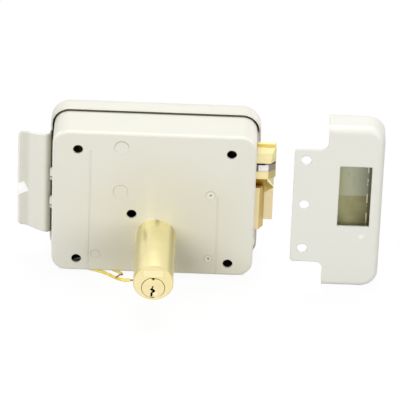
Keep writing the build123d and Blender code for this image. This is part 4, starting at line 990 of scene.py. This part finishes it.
def makePaper():
    finish = Finish("stickerPaper")
    fibre = finish.noise(2500.0, 3.0)
    cloud = finish.noise(150.0)
    base = finish.mixColour(cloud.ramp(0.3, 0.7, 0.0, 0.7), colour(label["paper"]), colour(label["shade"]))
    finish.set(Base_Color=base, Roughness=0.6 + fibre * 0.15)
    # painted glow on the white paper
    finish.set(Emission_Color=colour("ffffff"), Emission_Strength=label["glow"])
    finish.relief(fibre, 0.01 * mm, 0.4)
    return finish.material


def makeLabel():
    # a grid laid on the wing's near side, cut off at the wing's edge
    wingMesh = nodes["pull_wing"].data
    surface = BVHTree.FromPolygons(
        [vertex.co for vertex in wingMesh.vertices], [tuple(face.vertices) for face in wingMesh.polygons]
    )
    shape = bmesh.new()
    cells = label["cells"]
    bmesh.ops.create_grid(shape, x_segments=cells, y_segments=cells, size=0.5)
    wide = Matrix.Diagonal((label["width"], label["height"], 1.0, 1.0))
    upright = Matrix.Rotation(math.pi / 2, 4, "X")
    turned = Matrix.Rotation(-math.radians(label["turn"]), 4, "Y")
    moved = Matrix.Translation((label["centre"][0], 0, label["centre"][1]))
    bmesh.ops.transform(shape, matrix=moved @ turned @ upright @ wide, verts=shape.verts)
    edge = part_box("pull_wing")[0].x + label["fromEdge"]
    geometry = shape.verts[:] + shape.edges[:] + shape.faces[:]
    bmesh.ops.bisect_plane(shape, geom=geometry, plane_co=(edge, 0, 0), plane_no=(-1, 0, 0), clear_outer=True)
    for vertex in shape.verts:
        hit = surface.ray_cast(vertex.co, Vector((0, 1, 0)))[0]
        vertex.co.y = hit.y - label["fromWing"]
    mesh = bpy.data.meshes.new("wing_label")
    shape.normal_update()
    shape.to_mesh(mesh)
    shape.free()
    piece = addPiece("wing_label", mesh, "lock_case", "cream_paint", makePaper())
    wall = piece.modifiers.new("wall", "SOLIDIFY")
    wall.thickness = label["thickness"]
    wall.offset = 1.0


makeLabel()
print("label laid on the wing")


# Springs, wound to fill the space of their solids

springs = {
    "latch_spring": {"joint": "latch_slide", "wire": 0.7 * mm, "turns": 9.0, "travel": 10.5 * mm},
    "cocking_spring": {"joint": "cocking_slide", "wire": 0.5 * mm, "turns": 7.0, "travel": 4.9 * mm},
    "plunger_spring": {"joint": "plunger_slide", "wire": 0.7 * mm, "turns": 4.0, "travel": 2.4 * mm},
    "button_spring": {"joint": "button_press", "wire": 0.5 * mm, "turns": 4.5, "travel": 4.0 * mm},
}


def namedInputs(tree, kinds):
    sockets = {}
    for name, kind in kinds.items():
        sockets[name] = tree.interface.new_socket(name=name, in_out="INPUT", socket_type=kind)
    tree.interface.new_socket(name="Geometry", in_out="OUTPUT", socket_type="NodeSocketGeometry")
    return sockets


def springTree():
    tree = bpy.data.node_groups.new("woundSpring", "GeometryNodeTree")
    sockets = namedInputs(
        tree,
        {
            "Length": "NodeSocketFloat",
            "Radius": "NodeSocketFloat",
            "Wire": "NodeSocketFloat",
            "Turns": "NodeSocketFloat",
            "Turned": "NodeSocketRotation",
            "Start": "NodeSocketVector",
            "Finish": "NodeSocketMaterial",
        },
    )
    graph = Graph(tree)
    given = graph.make("NodeGroupInput")
    size = {name: Wire(graph, given.outputs[name]) for name in sockets}
    coil = graph.add(
        "GeometryNodeCurveSpiral",
        None,
        Resolution=20,
        Rotations=size["Turns"],
        Start_Radius=size["Radius"],
        End_Radius=size["Radius"],
        Height=size["Length"],
    )
    share = graph.add("GeometryNodeSplineParameter", output="Factor")
    tightening = 0.6  # of the end turns, against an even winding
    closed = (share * math.tau).calc("SINE") * size["Length"] * (-tightening / math.tau)
    shift = graph.add("ShaderNodeCombineXYZ", None, 0.0, 0.0, closed)
    coil = graph.add("GeometryNodeSetPosition", None, Geometry=coil, Offset=shift)
    section = graph.add("GeometryNodeCurvePrimitiveCircle", None, Resolution=10, Radius=size["Wire"] * 0.5)
    tube = graph.add("GeometryNodeCurveToMesh", None, Curve=coil, Profile_Curve=section, Fill_Caps=True)
    placed = graph.add(
        "GeometryNodeTransform", None, Geometry=tube, Translation=size["Start"], Rotation=size["Turned"]
    )
    whole = graph.add("GeometryNodeRealizeInstances", None, placed)
    done = graph.add("GeometryNodeSetMaterial", None, Geometry=whole, Material=size["Finish"])
    graph.make("NodeGroupOutput", None, done)
    return tree, sockets


def runTree(name, tree, sockets, values):
    # the tree's result as a plain mesh
    holder = bpy.data.objects.new(name, bpy.data.meshes.new(name))
    modifier = holder.modifiers.new("shape", "NODES")
    modifier.node_group = tree
    for key, value in values.items():
        modifier[sockets[key].identifier] = value
    mesh = evaluatedMesh(holder)
    mesh.name = name
    mesh.shade_smooth()
    return mesh


def makeSprings():
    tree, sockets = springTree()
    bodies = frame["record"]["behaviour"]["bodies"]
    bodyOf = {member: body for body, members in bodies.items() for member in members}
    for node, facts in springs.items():
        low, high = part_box(node)
        size = high - low
        along = 1 if node == "button_spring" else 0  # Y, or X for the others
        start = (low + high) / 2
        start[along] = low[along] + facts["wire"] / 2
        values = {
            "Length": size[along] - facts["wire"],
            "Radius": (size.z - facts["wire"]) / 2,
            "Wire": facts["wire"],
            "Turns": facts["turns"],
            "Turned": (-math.pi / 2, 0.0, 0.0) if along else (0.0, math.pi / 2, 0.0),
            "Start": start,
            "Finish": finishes["spring_steel"],
        }
        mesh = runTree(node + "_coil", tree, sockets, values)
        piece = addPiece(node + "_coil", mesh, bodyOf[node], "spring_steel", replaced=(node,))
        anchor = start.copy()
        anchor[along] = low[along]
        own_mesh(piece)


makeSprings()
print("springs wound,", len(springs))


# Camera, lights and floor

view = {
    "elevation": 32.0,
    "roll": 2.1,
    "distance": 2.5,
    "width": 0.250,  # metres across the picture at the lock's face
    "pixels": 400,
    "originPixel": (155.7, 236.4),
}


def makeCamera():
    rise = math.radians(view["elevation"])
    roll = math.radians(view["roll"])
    back = Vector((0, -math.cos(rise), math.sin(rise)))
    upright = Vector((0, math.sin(rise), math.cos(rise)))
    right = math.cos(roll) * Vector((1, 0, 0)) + math.sin(roll) * upright
    up = back.cross(right)
    pixel = view["width"] / view["pixels"]
    middle = view["pixels"] / 2
    aim = (middle - view["originPixel"][0]) * pixel * right + (view["originPixel"][1] - middle) * pixel * up
    data = bpy.data.cameras.new("camera")
    data.sensor_width = 36.0
    data.lens = data.sensor_width * view["distance"] / view["width"]
    data.clip_end = 20.0
    camera = bpy.data.objects.new("camera", data)
    bpy.context.scene.collection.objects.link(camera)
    turn = Matrix((right, up, back)).transposed().to_4x4()
    camera.matrix_world = Matrix.Translation(aim + back * view["distance"]) @ turn
    bpy.context.scene.camera = camera


lamps = {
    "key": {"place": (-1.0, -2.0, 0.95), "size": 1.5, "power": 30.0},
    "fill": {"place": (1.7, -1.7, 0.5), "size": 1.4, "power": 20.0},
    "top": {"place": (0.1, 0.6, 1.6), "size": 1.2, "power": 16.0},
}
lampAim = Vector((0.02, 0.0, 0.02))
studio = {
    "level": 0.47,
    "side": 0.7,  # it mirrors darker to the left and right
    "sideFrom": 0.55,
    "sideTo": 0.95,
}


def rayShare(graph, *kinds):
    # 1 for rays of these kinds, and 0 for all others
    path = graph.make("ShaderNodeLightPath")
    total = 0.0
    for kind in kinds:
        total = Wire(graph, path.outputs["Is " + kind + " Ray"]) + total
    return total.smaller(1.0)


def makeLights():
    for name, facts in lamps.items():
        data = bpy.data.lights.new(name, "AREA")
        data.shape = "DISK"
        data.size = facts["size"]
        data.energy = facts["power"]
        lamp = bpy.data.objects.new(name, data)
        bpy.context.scene.collection.objects.link(lamp)
        lamp.location = facts["place"]
        lamp.rotation_euler = (lampAim - lamp.location).to_track_quat("-Z", "Y").to_euler()
    world = bpy.data.worlds.new("studio")
    bpy.context.scene.world = world
    world.use_nodes = True
    graph = Graph(world.node_tree)
    seen = rayShare(graph, "Camera", "Transmission")
    shone = rayShare(graph, "Glossy")
    sideways = abs(graph.split(graph.add("ShaderNodeTexCoord", output="Generated"))[0])
    mirrored = sideways.ramp(studio["sideFrom"], studio["sideTo"], 1.0, studio["side"])
    level = graph.mixValue(seen, studio["level"], 1.0)
    level = graph.mixValue(shone, level, mirrored)
    lit = graph.add("ShaderNodeBackground", None, colour("ffffff"), level)
    graph.make("ShaderNodeOutputWorld", None, lit)


floor = {"half": 3.0, "glow": 0.93, "bounce": "8d8c88", "inset": 5 * mm}


def makeFloor():
    level = cadBox[0].z
    shape = bmesh.new()
    half = floor["half"]
    corners = [(-half, -half), (half, -half), (half, half), (-half, half)]
    shape.faces.new([shape.verts.new((x, y, level)) for x, y in corners])
    mesh = bpy.data.meshes.new("floor")
    shape.to_mesh(mesh)
    shape.free()
    plane = bpy.data.objects.new("floor", mesh)
    bpy.context.scene.collection.objects.link(plane)
    material = bpy.data.materials.new("paleFloor")
    material.use_nodes = True
    graph = Graph(material.node_tree)
    seen = rayShare(graph, "Camera", "Glossy", "Transmission")
    cloth = graph.mixColour(seen, colour(floor["bounce"]), colour("ffffff"))
    matt = graph.add("ShaderNodeBsdfDiffuse", None, cloth)
    glow = graph.add("ShaderNodeEmission", None, colour("ffffff"), 1.0)
    x, y, _ = graph.split(graph.add("ShaderNodeTexCoord", output="Object"))
    low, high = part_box("back_case")
    fromX = abs(x - (low.x + high.x) / 2) - ((high.x - low.x) / 2 - floor["inset"])
    fromY = abs(y - (low.y + high.y) / 2) - ((high.y - low.y) / 2 - floor["inset"])
    lit = fromX.larger(fromY).ramp(-2 * mm, 1 * mm)  # no glow under the case, where no light reaches
    mixed = graph.add("ShaderNodeMixShader", None, seen * floor["glow"] * lit, matt, glow)
    graph.make("ShaderNodeOutputMaterial", None, mixed)
    dress(plane, material)


makeCamera()
makeLights()
makeFloor()
bpy.context.scene.view_settings.view_transform = "Standard"
print("camera, lights and floor set")
